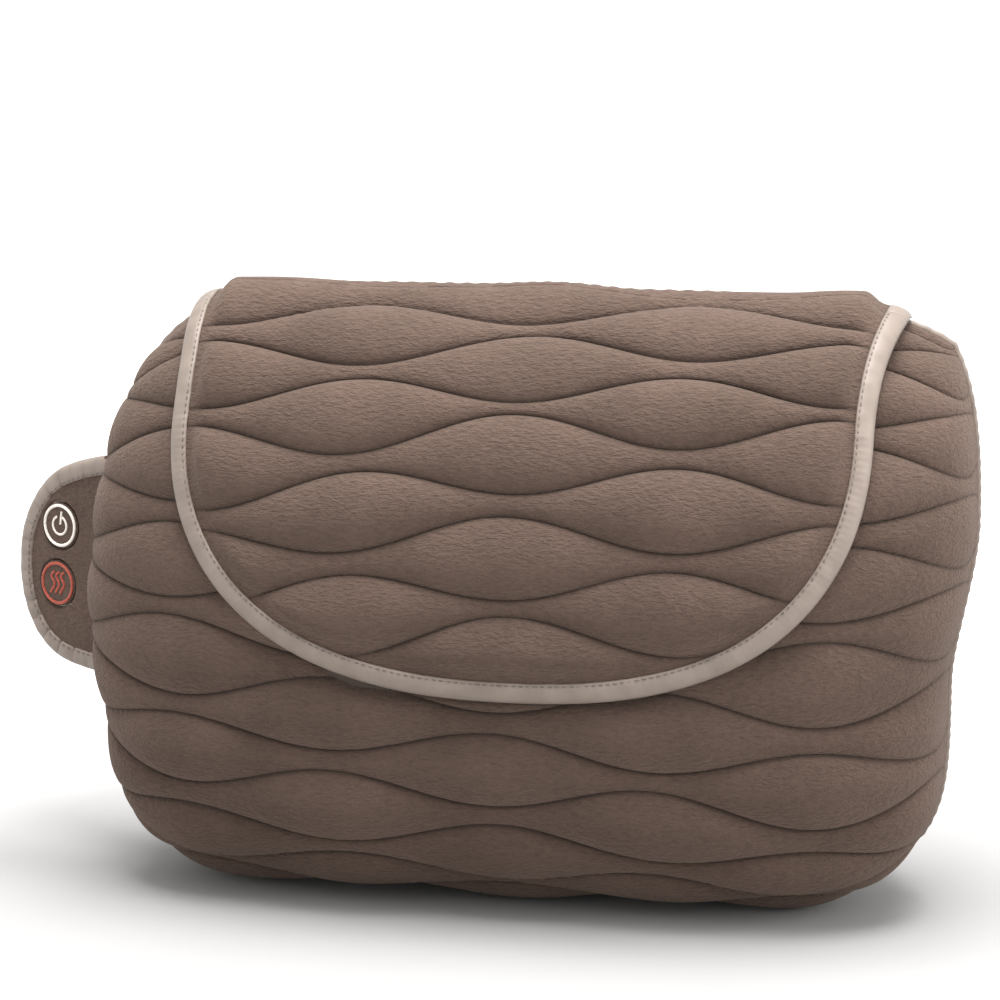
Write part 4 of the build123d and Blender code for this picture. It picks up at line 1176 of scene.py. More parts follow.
    def make_screen(self) -> bpy.types.Object:
        """Knitted mesh over the massage nodes, pushed out a little by each node.

        Returns:
            The finished piece.
        """
        middle, half = self.window()
        rings, around = 40, 160
        turn = np.linspace(0, tau, around, endpoint=False)
        straight = half[0] - half[2]
        wide = np.clip(np.cos(turn) * 3, -1, 1) * straight + half[2] * np.cos(turn)
        outline = np.stack([wide, half[2] * np.sin(turn)], 1)
        share = np.linspace(1.02, 0.0, rings)[:, None, None]
        flat = outline[None] * share
        x, z = flat[..., 0] + middle[0], flat[..., 1] + middle[2]
        base = self.front_depth_at(x, z) + 4.2
        push = np.zeros_like(x)
        for node in ("left_tall_node", "left_short_node", "right_tall_node", "right_short_node"):
            lowest, highest = cad_box(node)
            away = np.hypot(x - (lowest + highest)[0] / 2, z - (lowest + highest)[2] / 2)
            push = np.maximum(push, 2.4 * np.exp(-(away / 15.0) ** 2))
        y = base - push
        outer = np.stack([x, y, z], -1)
        inner = outer + np.array([0, 1.0, 0])
        count = rings * around
        faces = grid_faces(rings - 1, around, wrap=True)
        back = grid_faces(rings - 1, around, count, wrap=True, flip=True)
        last = (rings - 2) * around
        faces.append(tuple(last + c for c in range(around)))
        back.append(tuple(count + last + c for c in range(around))[::-1])
        walls = [((c + 1) % around, c, count + c, count + (c + 1) % around) for c in range(around)]
        points = np.concatenate([outer.reshape(-1, 3), inner.reshape(-1, 3)])
        piece = make_mesh("node_window_mesh", points, faces + back + walls)
        edit_all(piece, bpy.ops.mesh.delete_loose)
        recalculate(piece)
        self.wardrobe.dress(piece, "spacer_mesh")
        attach(piece, "body")
        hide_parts("node_screen")
        return piece

    def front_depth_at(self, x: Array, z: Array) -> Array:
        """Depth of the smooth front form at a place seen from the front.

        Args:
            x: Places across.
            z: Heights.

        Returns:
            Y of the form.
        """
        form = self.form
        across, upper, lower = form.profiles(Side.FRONT)
        deep = np.interp(np.abs(x) / form.half, across[1], across[2])
        above = np.interp((z - form.wide_z) / form.upper, upper[1], upper[2])
        below = np.interp((form.wide_z - z) / form.lower, lower[1], lower[2])
        return form.seam_y - form.depth[Side.FRONT] * deep * np.where(z > form.wide_z, above, below)

    def make_back(self) -> bpy.types.Object:
        """Plain woven back cover, flat round the zip and the inlet.

        Returns:
            The finished piece.
        """
        across, up = self.grid(Side.BACK, self.back_step)
        points = self.form.surface(Side.BACK, across, up)
        edge = self.rim(Side.BACK, across, up)
        along = np.where(edge + 0.01 >= self.form.reach(Side.BACK)[0] - np.abs(across), up, across)
        pulls = np.sin(along * tau / 11.0 + 1.6 * np.sin(along / 19.0)) * np.exp(-edge / 13.0)
        long_pulls = ripple(along, edge * 0.25, 23, 15.0) * np.exp(-edge / 42.0)
        gathers = 0.9 * pulls + 1.9 * long_pulls + 1.5 * ripple(across, up * 1.6, 22, 34.0)
        reach_a, top, bottom = self.form.reach(Side.BACK)
        corner = reach_a - np.abs(across) + np.minimum(top - up, bottom + up)
        calm = smoothstep(2.0, 16.0, edge) * smoothstep(20.0, 70.0, corner)
        points = points - normals_of(points) * (gathers * calm)[..., None]
        zip_low, zip_high = cad_box("zipper_tapes")
        slot_low, slot_high = cad_box("zipper_coils")
        cover_y = np.array(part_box("back_cover")[1])[1] / MM
        x, z = points[..., 0], points[..., 2]
        past = np.maximum(np.abs(x) - zip_high[0], 0)
        away = np.hypot(past, np.maximum(np.abs(z - (zip_low + zip_high)[2] / 2) - 12, 0))
        flat = smoothstep(26.0, 2.0, away)
        inlet_low, inlet_high = cad_box("jack_grommet")
        inlet = (inlet_low + inlet_high) / 2
        flat = np.maximum(flat, smoothstep(30.0, 14.0, np.hypot(x - inlet[0], z - inlet[2])))
        points[..., 1] = points[..., 1] * (1 - flat) + (cover_y - 0.25) * flat
        slot_x = np.maximum(np.abs(x) - (slot_high[0] - 1.0), 0)
        slot = np.hypot(slot_x, z - (slot_low + slot_high)[2] / 2)
        points[..., 1] -= 3.3 * smoothstep(5.2, 2.6, slot)
        outer = points[:, ::-1]
        piece = self.close_back("back_cover_cloth", outer, normals_of(outer), np.zeros(outer.shape[:2]), 1.6)
        self.wardrobe.dress(piece, "woven_cloth", "woven_cloth")
        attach(piece, "body")
        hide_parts("back_cover", "rear_foam")
        return piece

    def tape_profile(self) -> Array:
        """Section of the side binding: outward, then back."""
        return np.array([[-1.0, -1.6], [1.0, -1.3], [3.2, 0.2], [4.7, 2.8], [5.1, 5.4],
                         [4.5, 7.0], [3.3, 7.0], [2.5, 5.2], [1.0, 3.4], [-1.0, 2.6]])

    def make_side_tapes(self) -> list[bpy.types.Object]:
        """Bias tape on both side seams with a row of stitches; the left one stops at the control tab.

        Returns:
            The tapes, each with its stitches after it.
        """
        tab_low, tab_high = cad_box("tab_binding")
        pieces = []
        for label, sign in (("right", 1), ("left", -1)):
            turns = np.concatenate([np.linspace(-0.95, 1, 300), np.linspace(1, 1.19, 40)[1:]])
            line = self.form.seam(turns, sign)
            runs = [np.ones(len(line), bool)]
            if sign < 0:
                runs = [line[:, 2] < tab_low[2] - 1.5, line[:, 2] > tab_high[2] + 1.5]
            for number, run in enumerate(runs):
                part = line[run]
                along = np.gradient(part, axis=0)
                along /= np.linalg.norm(along, axis=1, keepdims=True)
                back = np.tile([0.0, 1.0, 0.0], (len(part), 1))
                out = np.cross(along, back) * sign
                out /= np.linalg.norm(out, axis=1, keepdims=True)
                wave = 0.25 * np.sin(np.arange(len(part)) * 0.9)[:, None]
                index = np.arange(len(part))
                taper = np.minimum(1.0, (np.minimum(index, index[::-1]) + 2) / 14.0)
                profile = self.tape_profile()[None] * taper[:, None, None]
                profile[..., 0] += wave * 0.6
                tape = swept(f"side_tape_{label}_{number}", part, out, back, profile)
                self.wardrobe.dress(tape, "satin_tape")
                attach(tape, "body")
                if number == 0:
                    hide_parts(f"edge_binding_{label}")
                pieces.append(tape)
                spots = spaced(part, 3.2)
                places = at_index(part, spots) + at_index(out, spots) * 1.1 + np.array([0, -1.5, 0])
                turns_of = frames_along(places, -at_index(back, spots))
                thread = copies(f"side_stitches_{label}_{number}", stitch_seed(2.5, 0.75), places, turns_of)
                self.wardrobe.dress(thread, "beige_thread")
                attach(thread, "body")
                pieces.append(thread)
        return pieces


# ---- flap --------------------------------------------------------------------------------------------
@dataclass
class Flap:
    """Quilted flap, sewn into the top seam, that hangs over the bend and down the front."""

    form: PillowForm
    wardrobe: Wardrobe
    step: float = 1.45
    tape: float = 8.8
    quilt: Quilt = Quilt(spacing=20.6, amplitude=6.25, wavelength=138.0, crest_at=0.0, first_line=15.4,
                         rise=6.6, seed=8, plain_before=1, on_flap=True)
    shift: float = 6.5  # the flap is sewn a little to the right of the middle
    length: float = 198.0  # from the seam to the tip, along the pillow
    curve: float = 114.0  # how much of that is the rounded end
    roundness: float = 2.35  # of the end; 2 is an ellipse, and more is squarer
    join: float = 18.0  # distance from the seam at which the rear and front parts meet
    half: float = field(init=False)
    curve_v: float = field(init=False)
    across: Array = field(init=False)
    levels: Array = field(init=False)
    smooth: Array = field(init=False)
    normal: Array = field(init=False)

    def __post_init__(self) -> None:
        """Reads the CAD flap's boxes."""
        low, high = cad_box("flap_front_binding")
        self.half = (high - low)[0] / 2
        self.curve_v = self.length - self.curve
        self.across = np.linspace(-self.half - 4, self.half + 4, 160)
        self.levels = np.linspace(-2.0, self.length + 4, 220)
        x, v = np.meshgrid(self.across, self.levels)
        self.smooth = self.laid(x, v)
        self.normal = normals_of(self.smooth)

    def laid(self, x: Array, v: Array) -> Array:
        """Points where the flap's underside lies on the pillow, a little flatter across than it.

        Args:
            x: Places across.
            v: Distances from the seam.

        Returns:
            Points of shape (..., 3).
        """
        _, top, _ = self.form.reach(Side.FRONT)
        points = self.form.surface(Side.FRONT, x * 0.0, top - np.maximum(v, 0))
        reach_a, _, deep_a = self.form.profiles(Side.FRONT)[0]
        share = np.abs(x) / self.half
        sag = np.interp(np.abs(x), reach_a, deep_a)
        deep = self.form.seam_y - points[..., 1]
        right_taper = 3.0 * smoothstep(60.0, 0.0, v) - 6.0 * smoothstep(10.0, 85.0, v)
        taper = np.where(x > 0, right_taper, 2.5 * smoothstep(10.0, 80.0, v))
        points[..., 0] = x * (1 - 0.012 * share**4) + self.shift + taper * share**2
        points[..., 1] = self.form.seam_y - deep * (1 - (1 - sag) * smoothstep(0.0, 60.0, v) * 0.9)
        droop = 4.0 * smoothstep(0.86, 1.05, share) ** 1.5 + 0.4 * share**2
        points[..., 2] -= droop * (0.25 + 0.75 * smoothstep(90.0, 10.0, v))
        points[..., 1] -= np.minimum(v, 0)
        return points

    def place(self, x: Array, v: Array, height: Array) -> Array:
        """A point of the flap: x across, v along, at a height above the pillow's smooth form.

        Args:
            x: Places across.
            v: Distances from the seam.
            height: Height above the pillow's smooth form.

        Returns:
            Points of shape (..., 3).
        """
        columns = (x - self.across[0]) / (self.across[1] - self.across[0])
        rows = (v - self.levels[0]) / (self.levels[1] - self.levels[0])
        return at_grid(self.smooth, rows, columns) + at_grid(self.normal, rows, columns) * height[..., None]

    def outline_radius(self, angle: Array, inset: float) -> tuple[Array, Array]:
        """Half axes share of the rounded end at an angle.

        Args:
            angle: Angle round the end, in radians.
            inset: Distance inside the outline.

        Returns:
            Half axes across and along, in millimetres.
        """
        n = self.roundness
        grow = (np.abs(np.cos(angle)) ** n + np.abs(np.sin(angle)) ** n) ** (-1 / n)
        return grow * (self.half - inset), grow * (self.length - self.curve_v - inset)

    def grid(self, v0: float, v1: float, inset: float) -> tuple[Array, Array]:
        """Grid over the flap's outline between two distances from the seam, with rows along the quilting.

        Args:
            v0: Where it starts.
            v1: Where it ends; the rounded outline ends it where that comes first.
            inset: How far inside the outline it stays.

        Returns:
            X and distance from the seam, rows from the seam down.
        """
        half = self.half - inset
        turn = np.linspace(-1, 1, int(2 * half / self.step)) * pi / 2 * 0.8
        columns = np.sin(turn) / sin(pi / 2 * 0.8) * half
        tall = self.length - self.curve_v - inset
        drop = np.clip(1 - np.abs(columns / half) ** self.roundness, 0, 1) ** (1 / self.roundness)
        end = self.curve_v + tall * drop
        v = self.quilt.rows(columns, np.full_like(columns, v0), np.minimum(end, v1))
        return np.broadcast_to(columns, v.shape), v

    def rim(self, x: Array, v: Array) -> Array:
        """Distance inside the flap's outline.

        Args:
            x: Places across.
            v: Distances from the seam.

        Returns:
            Distances, negative outside.
        """
        straight = self.half - np.abs(x)
        tall = self.length - self.curve_v
        u, w = x / self.half, np.maximum(v - self.curve_v, 0) / tall
        radius = (np.abs(u) ** self.roundness + w**self.roundness) ** (1 / self.roundness)
        scale = np.hypot(x, v - self.curve_v) / np.maximum(radius, 1e-6)
        curved = (1 - radius) * np.where(v > self.curve_v, scale, self.half)
        return np.where(v > self.curve_v, curved, straight)

    def heights(self, x: Array, v: Array) -> tuple[Array, Array]:
        """Outer and inner height of the padded flap.

        Args:
            x: Places across.
            v: Distances from the seam.

        Returns:
            Heights above the pillow's smooth form.
        """
        edge = self.rim(x, v)
        puff = self.quilt.height(x, v)
        full = smoothstep(9.3, 18.5, edge)
        outer = 4.0 + (puff - 0.4) * (0.08 + 0.92 * full)
        tuck = smoothstep(10.0, 0.0, v)
        outer = outer * (1 - tuck) + (2.6 + 0.35 * puff) * tuck
        tucks = 0.55 * np.sin(x * tau / 7.3 + 1.3 * np.sin(x / 17.0))
        gathers = tucks * smoothstep(95.0, 60.0, np.abs(x + 5))
        outer = outer + gathers * smoothstep(16.0, 2.0, v)
        inner = 1.3 + 0.3 * ripple(x, v, 31, 22.0)
        return outer, np.minimum(inner, outer - 1.6)

    @staticmethod
    def edge_height(v: Array) -> Array:
        """Outer height of the pad under the tape, thinner where the flap is sewn on."""
        return 4.3 - 1.4 * smoothstep(10.0, 0.0, v)

    def quilted(self, name: str, v0: float, v1: float) -> bpy.types.Object:
        """One padded part of the flap, quilted outside and lined inside.

        Args:
            name: Name of the piece.
            v0: Distance from the seam at which it starts.
            v1: Distance at which it ends.

        Returns:
            The finished piece.
        """
        x, v = self.grid(v0, v1, self.tape - 3.0)
        outer, inner = self.heights(x, v)
        piece = slab(name, self.place(x, v, outer), self.place(x, v, inner))
        # The stitch-line share sets the fleece's painted shade in the creases.
        paint_crease_shade(piece, self.quilt.crease_shade_share(x, v))
        merge(piece)
        self.wardrobe.dress(piece, "micro_fleece", "flap_lining")
        return piece

    def outline(self, inset: float, v0: float) -> tuple[Array, Array]:
        """The flap's edge as a line from the left rear, round the tip, to the right rear.

        Args:
            inset: Distance inside the edge.
            v0: Distance from the seam at which the line starts.

        Returns:
            Places across and distances from the seam.
        """
        rise = np.arange(v0, self.curve_v, self.step)
        turn = np.linspace(pi, 0, 420)
        wide, tall = self.outline_radius(turn, inset)
        straight = np.full(len(rise), self.half - inset)
        x = np.concatenate([-straight, wide * np.cos(turn), straight])
        v = np.concatenate([rise, self.curve_v + tall * np.sin(turn), rise[::-1]])
        return x, v

    def make_tape(self, name: str, x: Array, v: Array) -> bpy.types.Object:
        """Folded satin tape round part of the edge.

        Args:
            name: Name of the piece.
            x: The edge's places across.
            v: The edge's distances from the seam.

        Returns:
            The closed tape.
        """
        step = np.stack([np.gradient(x), np.gradient(v)], 1)
        step /= np.linalg.norm(step, axis=1, keepdims=True)
        inward = np.stack([step[:, 1], -step[:, 0]], 1)
        inward *= np.sign(-(x * inward[:, 0]) + (self.curve_v - v) * inward[:, 1] + 1e-9)[:, None]
        spans = np.concatenate([[0], np.cumsum(np.hypot(np.diff(x), np.diff(v)))])
        crimp = 0.16 * ripple(spans, spans * 0, 41, 5.0) + 0.1 * np.sin(spans * tau / 2.9)
        section = ((8.9, 0.3, 1), (8.4, 0.95, 1), (5.8, 1.0, 1), (3.0, 0.5, 1), (1.4, -0.15, 1),
                   (0.3, -1.2, 1), (-0.3, -2.5, 1), (0.4, 0.9, 0), (2.0, 0.0, 0), (4.5, -0.5, 0),
                   (7.0, -0.4, 0), (7.2, 0.9, 0))
        rings = []
        for inset, lift, outside in section:
            px, pv = x + inward[:, 0] * inset, v + inward[:, 1] * inset
            height = (self.edge_height(v) if outside else np.full_like(v, 1.3)) + lift
            if outside:
                height = height + crimp * smoothstep(0.0, 4.0, np.full_like(x, inset))
            rings.append(self.place(px, pv, height))
        piece = tube(name, np.stack(rings, 1))
        self.wardrobe.dress(piece, "satin_tape")
        return piece

    def make_stitches(self, name: str, x: Array, v: Array) -> bpy.types.Object:
        """Row of stitches near the tape's inner edge.

        Args:
            name: Name of the piece.
            x: Places across.
            v: Distances from the seam.

        Returns:
            The finished piece.
        """
        line = self.place(x, v, self.edge_height(v) + 1.0)
        lifted = self.place(x, v, self.edge_height(v) + 2.62)
        spots = spaced(line, 3.0)
        places = at_index(line, spots)
        turns = frames_along(places, at_index(lifted - line, spots))
        piece = copies(name, stitch_seed(2.3, 0.7), places, turns)
        self.wardrobe.dress(piece, "beige_thread")
        return piece

    def build(self) -> list[bpy.types.Object]:
        """Makes the flap's rear and front parts and bakes their placement into their meshes.

        Returns:
            All pieces of the flap.
        """
        x, v = self.outline(0.0, 0.0)
        xs, vs = self.outline(7.6, 4.0)
        rear = v <= self.join
        front = v >= self.join - self.step
        half = len(x) // 2
        left, right = np.arange(len(x)) < half, np.arange(len(x)) >= half
        rear_parts = [
            self.quilted("flap_rear_quilt", 0.0, self.join),
            self.make_tape("flap_rear_tape_left", x[rear & left], v[rear & left]),
            self.make_tape("flap_rear_tape_right", x[rear & right], v[rear & right]),
        ]
        front_parts = [
            self.quilted("flap_front_quilt", self.join, self.length),
            self.make_tape("flap_front_tape", x[front], v[front]),
            self.make_stitches("flap_stitches", xs[vs >= self.join], vs[vs >= self.join]),
        ]
        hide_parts("flap_top_panel", "flap_top_lining")
        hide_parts("flap_top_binding")
        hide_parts("flap_front_panel", "flap_front_lining")
        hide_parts("flap_front_binding")
        for piece in rear_parts:
            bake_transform(piece)
        for piece in front_parts:
            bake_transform(piece)
        return rear_parts + front_parts


# ---- control tab -------------------------------------------------------------------------------------
@dataclass
class ControlTab:
    """Bound fabric tab with two embroidered touch marks."""

    wardrobe: Wardrobe
    lean: float = radians(25.0)
    tape: float = 8.2
    stitch_inset: float = 7.4
    marks: dict[str, tuple[float, float]] = field(init=False)
    mark_radius: float = 9.7
    disc_radius: float = 10.4
    hinge: Array = field(init=False)
    out: Array = field(init=False)
    back: Array = field(init=False)
    up: Array = field(init=False)
    centre: tuple[float, float] = (22.0, 0.0)

    def __post_init__(self) -> None:
        """Finds the hinge in the record."""
        joints = {joint["name"]: joint for joint in frame["joints"]}
        self.hinge = np.array(joints["tab_flex"]["pos_m"]) / MM
        self.out = np.array([-cos(self.lean), sin(self.lean), 0.0])
        self.back = np.array([sin(self.lean), cos(self.lean), 0.0])
        self.up = np.array([0.0, 0.0, 1.0])
        self.marks = {name: self.place_of(f"{name}_button") for name in ("power", "heat")}

    def place_of(self, node: str) -> tuple[float, float]:
        """How far out and up on the tab a CAD node's middle lies.

        Args:
            node: Name of the CAD node.

        Returns:
            Distances out and up.
        """
        low, high = cad_box(node)
        middle = (low + high) / 2 - self.hinge
        return float(middle @ self.out), float(middle @ self.up)

    def place(self, u: Array, w: Array, depth: Array) -> Array:
        """A point of the tab: u out from the seam, w up, depth backwards from its middle."""
        return (self.hinge + u[..., None] * self.out + w[..., None] * self.up + depth[..., None] * self.back)

    def outline(self, count: int) -> tuple[Array, Array, Array]:
        """The D-shaped edge.

        Args:
            count: Number of points.

        Returns:
            Places out and up, and the distance along the edge, from the lower root round to the upper root.
        """
        corners = ((-1.5, -47.0), (4.0, -47.2), (16.0, -46.3), (30.0, -44.2), (42.0, -38.0), (51.0, -26.0),
                   (55.3, -12.0), (55.4, 4.0), (52.3, 18.0), (44.5, 31.0), (34.0, 41.5), (19.0, 47.6),
                   (5.0, 51.0), (-1.5, 52.0))
        line = np.array(corners)
        for _ in range(4):
            cut = np.empty((2 * len(line) - 2, 2))
            cut[0::2] = 0.75 * line[:-1] + 0.25 * line[1:]
            cut[1::2] = 0.25 * line[:-1] + 0.75 * line[1:]
            line = np.concatenate([line[:1], cut, line[-1:]])
        spots = np.linspace(0, 1, count)
        reach = np.concatenate([[0], np.cumsum(np.linalg.norm(np.diff(line, axis=0), axis=1))])
        u = np.interp(spots * reach[-1], reach, line[:, 0])
        w = np.interp(spots * reach[-1], reach, line[:, 1])
        return u, w, spots * reach[-1]

    def closed(self) -> tuple[Array, Array]:
        """The whole outline, the D-shaped edge and then the root.

        Returns:
            Places out and up.
        """
        u, w, _ = self.outline(220)
        root = np.linspace(w[-1], w[0], 66)[1:-1]
        return np.concatenate([u, np.full(len(root), u[0])]), np.concatenate([w, root])

    def rim(self, u: Array, w: Array) -> Array:
        """Distance to the D-shaped edge.

        Args:
            u: Places out.
            w: Places up.

        Returns:
            Distances, in millimetres.
        """
        eu, ew, _ = self.outline(260)
        away = np.hypot(u[..., None] - eu, w[..., None] - ew)
        return away.min(axis=-1)

    def well(self, u: Array, w: Array) -> Array:
        """1 under the two touch keys, 0 elsewhere.

        Args:
            u: Places out.
            w: Places up.

        Returns:
            Shares from 0 to 1.
        """
        share = np.zeros_like(u)
        for mu, mw in self.marks.values():
            away = np.hypot(u - mu, w - mw)
            share = np.maximum(share, smoothstep(self.disc_radius + 1.1, self.disc_radius - 0.1, away))
        return share

    def front_depth(self, u: Array, w: Array) -> Array:
        """Depth of the padded front, which is thin at the sewn edge."""
        full = smoothstep(4.0, 20.0, self.rim(u, w))
        return -(2.3 + 1.25 * full + 0.22 * ripple(u, w, 51, 13.0))

    def back_depth(self, u: Array, w: Array) -> Array:
        """Depth of the padded back."""
        return 2.1 + 1.0 * smoothstep(4.0, 20.0, self.rim(u, w)) + 0.2 * ripple(u, w, 52, 13.0)

    def make_pad(self) -> bpy.types.Object:
        """Padded fleece body of the tab, with a shallow well under each key.

        Returns:
            The finished piece.
        """
        eu, ew = self.closed()
        share = np.linspace(1.0, 0.0, 62)[:-1, None]
        scale = 1 - (self.tape - 3.0) / 40.0 * (eu > 1)
        u = self.centre[0] + (eu - self.centre[0]) * scale * share
        w = ew * scale * share
        front = self.front_depth(u, w) * (1 - self.well(u, w)) - 0.5 * self.well(u, w)
        rings = [self.place(u, w, front), self.place(u, w, self.back_depth(u, w))]
        rows, columns = u.shape
        count = rows * columns
        faces = grid_faces(rows, columns, wrap=True)
        faces.append(tuple(range(count - columns, count)))
        back = grid_faces(rows, columns, count, wrap=True, flip=True)
        back.append(tuple(range(2 * count - columns, 2 * count))[::-1])
        walls = [((c + 1) % columns, c, count + c, count + (c + 1) % columns) for c in range(columns)]
        points = np.concatenate([ring.reshape(-1, 3) for ring in rings])
        piece = make_mesh("tab_pad", points, faces + walls + back)
        recalculate(piece)
        self.wardrobe.dress(piece, "micro_fleece")
        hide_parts("tab_front_fabric", "tab_back_fabric")
        self.root(piece, "fleece")
        return piece

    def root(self, piece: bpy.types.Object, slot: str) -> None:
        """Bakes a piece's placement into its mesh.

        Args:
            piece: The piece.
            slot: Its material slot; not used.
        """
        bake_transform(piece)

    def inward(self, u: Array, w: Array) -> tuple[Array, Array]:
        """Unit directions across the D-shaped edge, towards the tab's middle.

        Args:
            u: The edge's places out.
            w: The edge's places up.

        Returns:
            Parts of the directions out and up.
        """
        du, dw = np.gradient(u), np.gradient(w)
        size = np.hypot(du, dw)
        iu, iw = -dw / size, du / size
        sign = np.sign((self.centre[0] - u) * iu + (self.centre[1] - w) * iw)
        return iu * sign, iw * sign

    def make_tape(self) -> bpy.types.Object:
        """Satin tape folded round the edge, gathered into puckers where the edge curves.

        Returns:
            The finished piece.
        """
        u, w, reach = self.outline(620)
        iu, iw = self.inward(u, w)
        heading = np.unwrap(np.arctan2(np.gradient(w), np.gradient(u)))
        bend = np.abs(np.gradient(heading) / np.gradient(reach))
        bend = np.convolve(bend, np.ones(41) / 41, mode="same")
        curl = np.clip(0.25 + bend / 0.03, 0, 1)
        pucker = np.abs(np.sin(reach * pi / 9.0 + 0.9 * np.sin(reach / 13.0))) ** 0.45 - 0.78
        section = ((8.4, 0.35, -1), (7.6, 0.85, -1), (5.8, 1.05, -1), (3.6, 0.9, -1), (1.8, 0.35, -1),
                   (0.5, -0.8, -1), (0.0, -2.2, -1), (0.5, -0.7, 1), (1.8, 0.3, 1), (3.6, 0.7, 1),
                   (5.8, 0.8, 1), (7.8, 0.6, 1), (8.2, -0.4, 1))
        rings = []
        for inset, lift, side in section:
            pu, pw = u + iu * inset, w + iw * inset
            base = 2.45 + 1.5 * curl * pucker * smoothstep(0.0, 3.0, inset) * (0.5 + 0.5 * inset / 8.4)
            base = base + 0.12 * ripple(reach, reach * 0 + inset, 55, 4.0)
            rings.append(self.place(pu, pw, side * (base + lift)))
        piece = tube("tab_tape", np.stack(rings, 1))
        self.wardrobe.dress(piece, "satin_tape")
        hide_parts("tab_binding")
        self.root(piece, "binding_tape")
        return piece

    def make_stitches(self) -> bpy.types.Object:
        """Stitches along the tape's inner edge.

        Returns:
            The finished piece.
        """
        u, w, _ = self.outline(400)
        iu, iw = self.inward(u, w)
        u, w = u + iu * self.stitch_inset, w + iw * self.stitch_inset
        line = self.place(u, w, np.full_like(u, -3.8))
        spots = spaced(line, 3.0)
        places = at_index(line, spots)
        turns = frames_along(places, np.tile(-self.back, (len(places), 1)))
        piece = copies("tab_stitches", stitch_seed(2.2, 0.7), places, turns)
        self.wardrobe.dress(piece, "beige_thread")
        self.root(piece, "binding_tape")
        return piece

    def lay_on(self, piece: bpy.types.Object, mark: str, depth: float) -> None:
        """Moves a piece modelled round the origin, facing -Y, to a mark's place on the tab.

        Args:
            piece: The piece to move.
            mark: Name of the mark.
            depth: Depth behind the tab's middle; the front is negative.
        """
        u, w = self.marks[mark]
        middle = self.hinge + u * self.out + w * self.up + depth * self.back
        turn = Matrix((-self.out, self.back, self.up)).transposed()
        piece.data.transform(Matrix.Translation(Vector(middle * MM)) @ turn.to_4x4())
        piece.data.update()

    def make_key(self, mark: str) -> bpy.types.Object:
        """Padded fleece disc over a touch switch, rolled at its edge.

        Args:
            mark: Name of the mark on the key.

        Returns:
            The finished piece.
        """
        deselect()
        bpy.ops.mesh.primitive_uv_sphere_add(segments=72, ring_count=36, radius=1.0)
        piece = bpy.context.object
        piece.name = piece.data.name = f"{mark}_key_cloth"
        turn = np.empty(len(piece.data.vertices) * 3)
        piece.data.vertices.foreach_get("co", turn)
        x, z, y = turn.reshape(-1, 3).T
        radius = np.hypot(x, z)
        spread = np.where(radius > 1e-6, np.minimum(radius, 1.0) ** 0.75 / np.maximum(radius, 1e-6), 0.0)
        deep = np.sign(y) * (1 - np.minimum(radius, 1.0) ** 6) ** 0.5
        points = np.stack([x * spread * self.disc_radius, deep * 0.85, z * spread * self.disc_radius], 1) * MM
        piece.data.vertices.foreach_set("co", points.ravel())
        piece.data.update()
        recalculate(piece)
        bpy.context.view_layer.objects.active = piece
        piece.select_set(True)
        bpy.ops.object.shade_smooth()
        self.lay_on(piece, mark, -2.85)
        self.wardrobe.dress(piece, "micro_fleece")
        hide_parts(f"{mark}_button")
        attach(piece, f"{mark}_key")
        return piece

    def thread_line(self, points: Sequence[tuple[float, float]], width: float) -> bpy.types.Object:
        """A raised line of embroidery through points across and up, as a mesh.

        Args:
            points: Places across and up, in millimetres.
            width: Width of the line.

        Returns:
            The line as a mesh.
        """
        deselect()
        bpy.ops.curve.primitive_nurbs_path_add()
        line = bpy.context.object
        spline = line.data.splines[0]
        missing = len(points) - len(spline.points)
        if missing > 0:
            spline.points.add(missing)
        for point, (x, z) in zip(spline.points, points):
            point.co = (x * MM, 0.0, z * MM, 1.0)
        for spare in list(spline.points)[len(points):]:
            spare.co = (points[-1][0] * MM, 0.0, points[-1][1] * MM, 1.0)
        spline.use_endpoint_u = True
        spline.order_u = 3
        line.data.bevel_depth = width / 2 * MM
        line.data.bevel_resolution = 2
        line.data.use_fill_caps = True
        bpy.ops.object.convert(target="MESH")
        return bpy.context.object

    def thread_ring(self, radius: float, width: float, start: float = 0.0,
                    sweep: float = tau) -> bpy.types.Object:
        """A ring, or part of one, of satin stitches that lie across its line.

        Args:
            radius: Radius of the line.
            width: Width of the line.
            start: Angle at which it starts, in radians.
            sweep: Angle that it covers.

        Returns:
            The ring as a mesh.
        """
        if sweep < tau:
            turns = np.linspace(start, start + sweep, 40)
            return self.thread_line([(radius * cos(t), radius * sin(t)) for t in turns], width)
        deselect()
        bpy.ops.mesh.primitive_torus_add(major_segments=180, minor_segments=10, major_radius=radius * MM,
                                         minor_radius=width / 2 * MM, rotation=(pi / 2, 0, 0))
        ring = bpy.context.object
        bpy.ops.object.transform_apply(location=False, rotation=True, scale=False)
        return ring

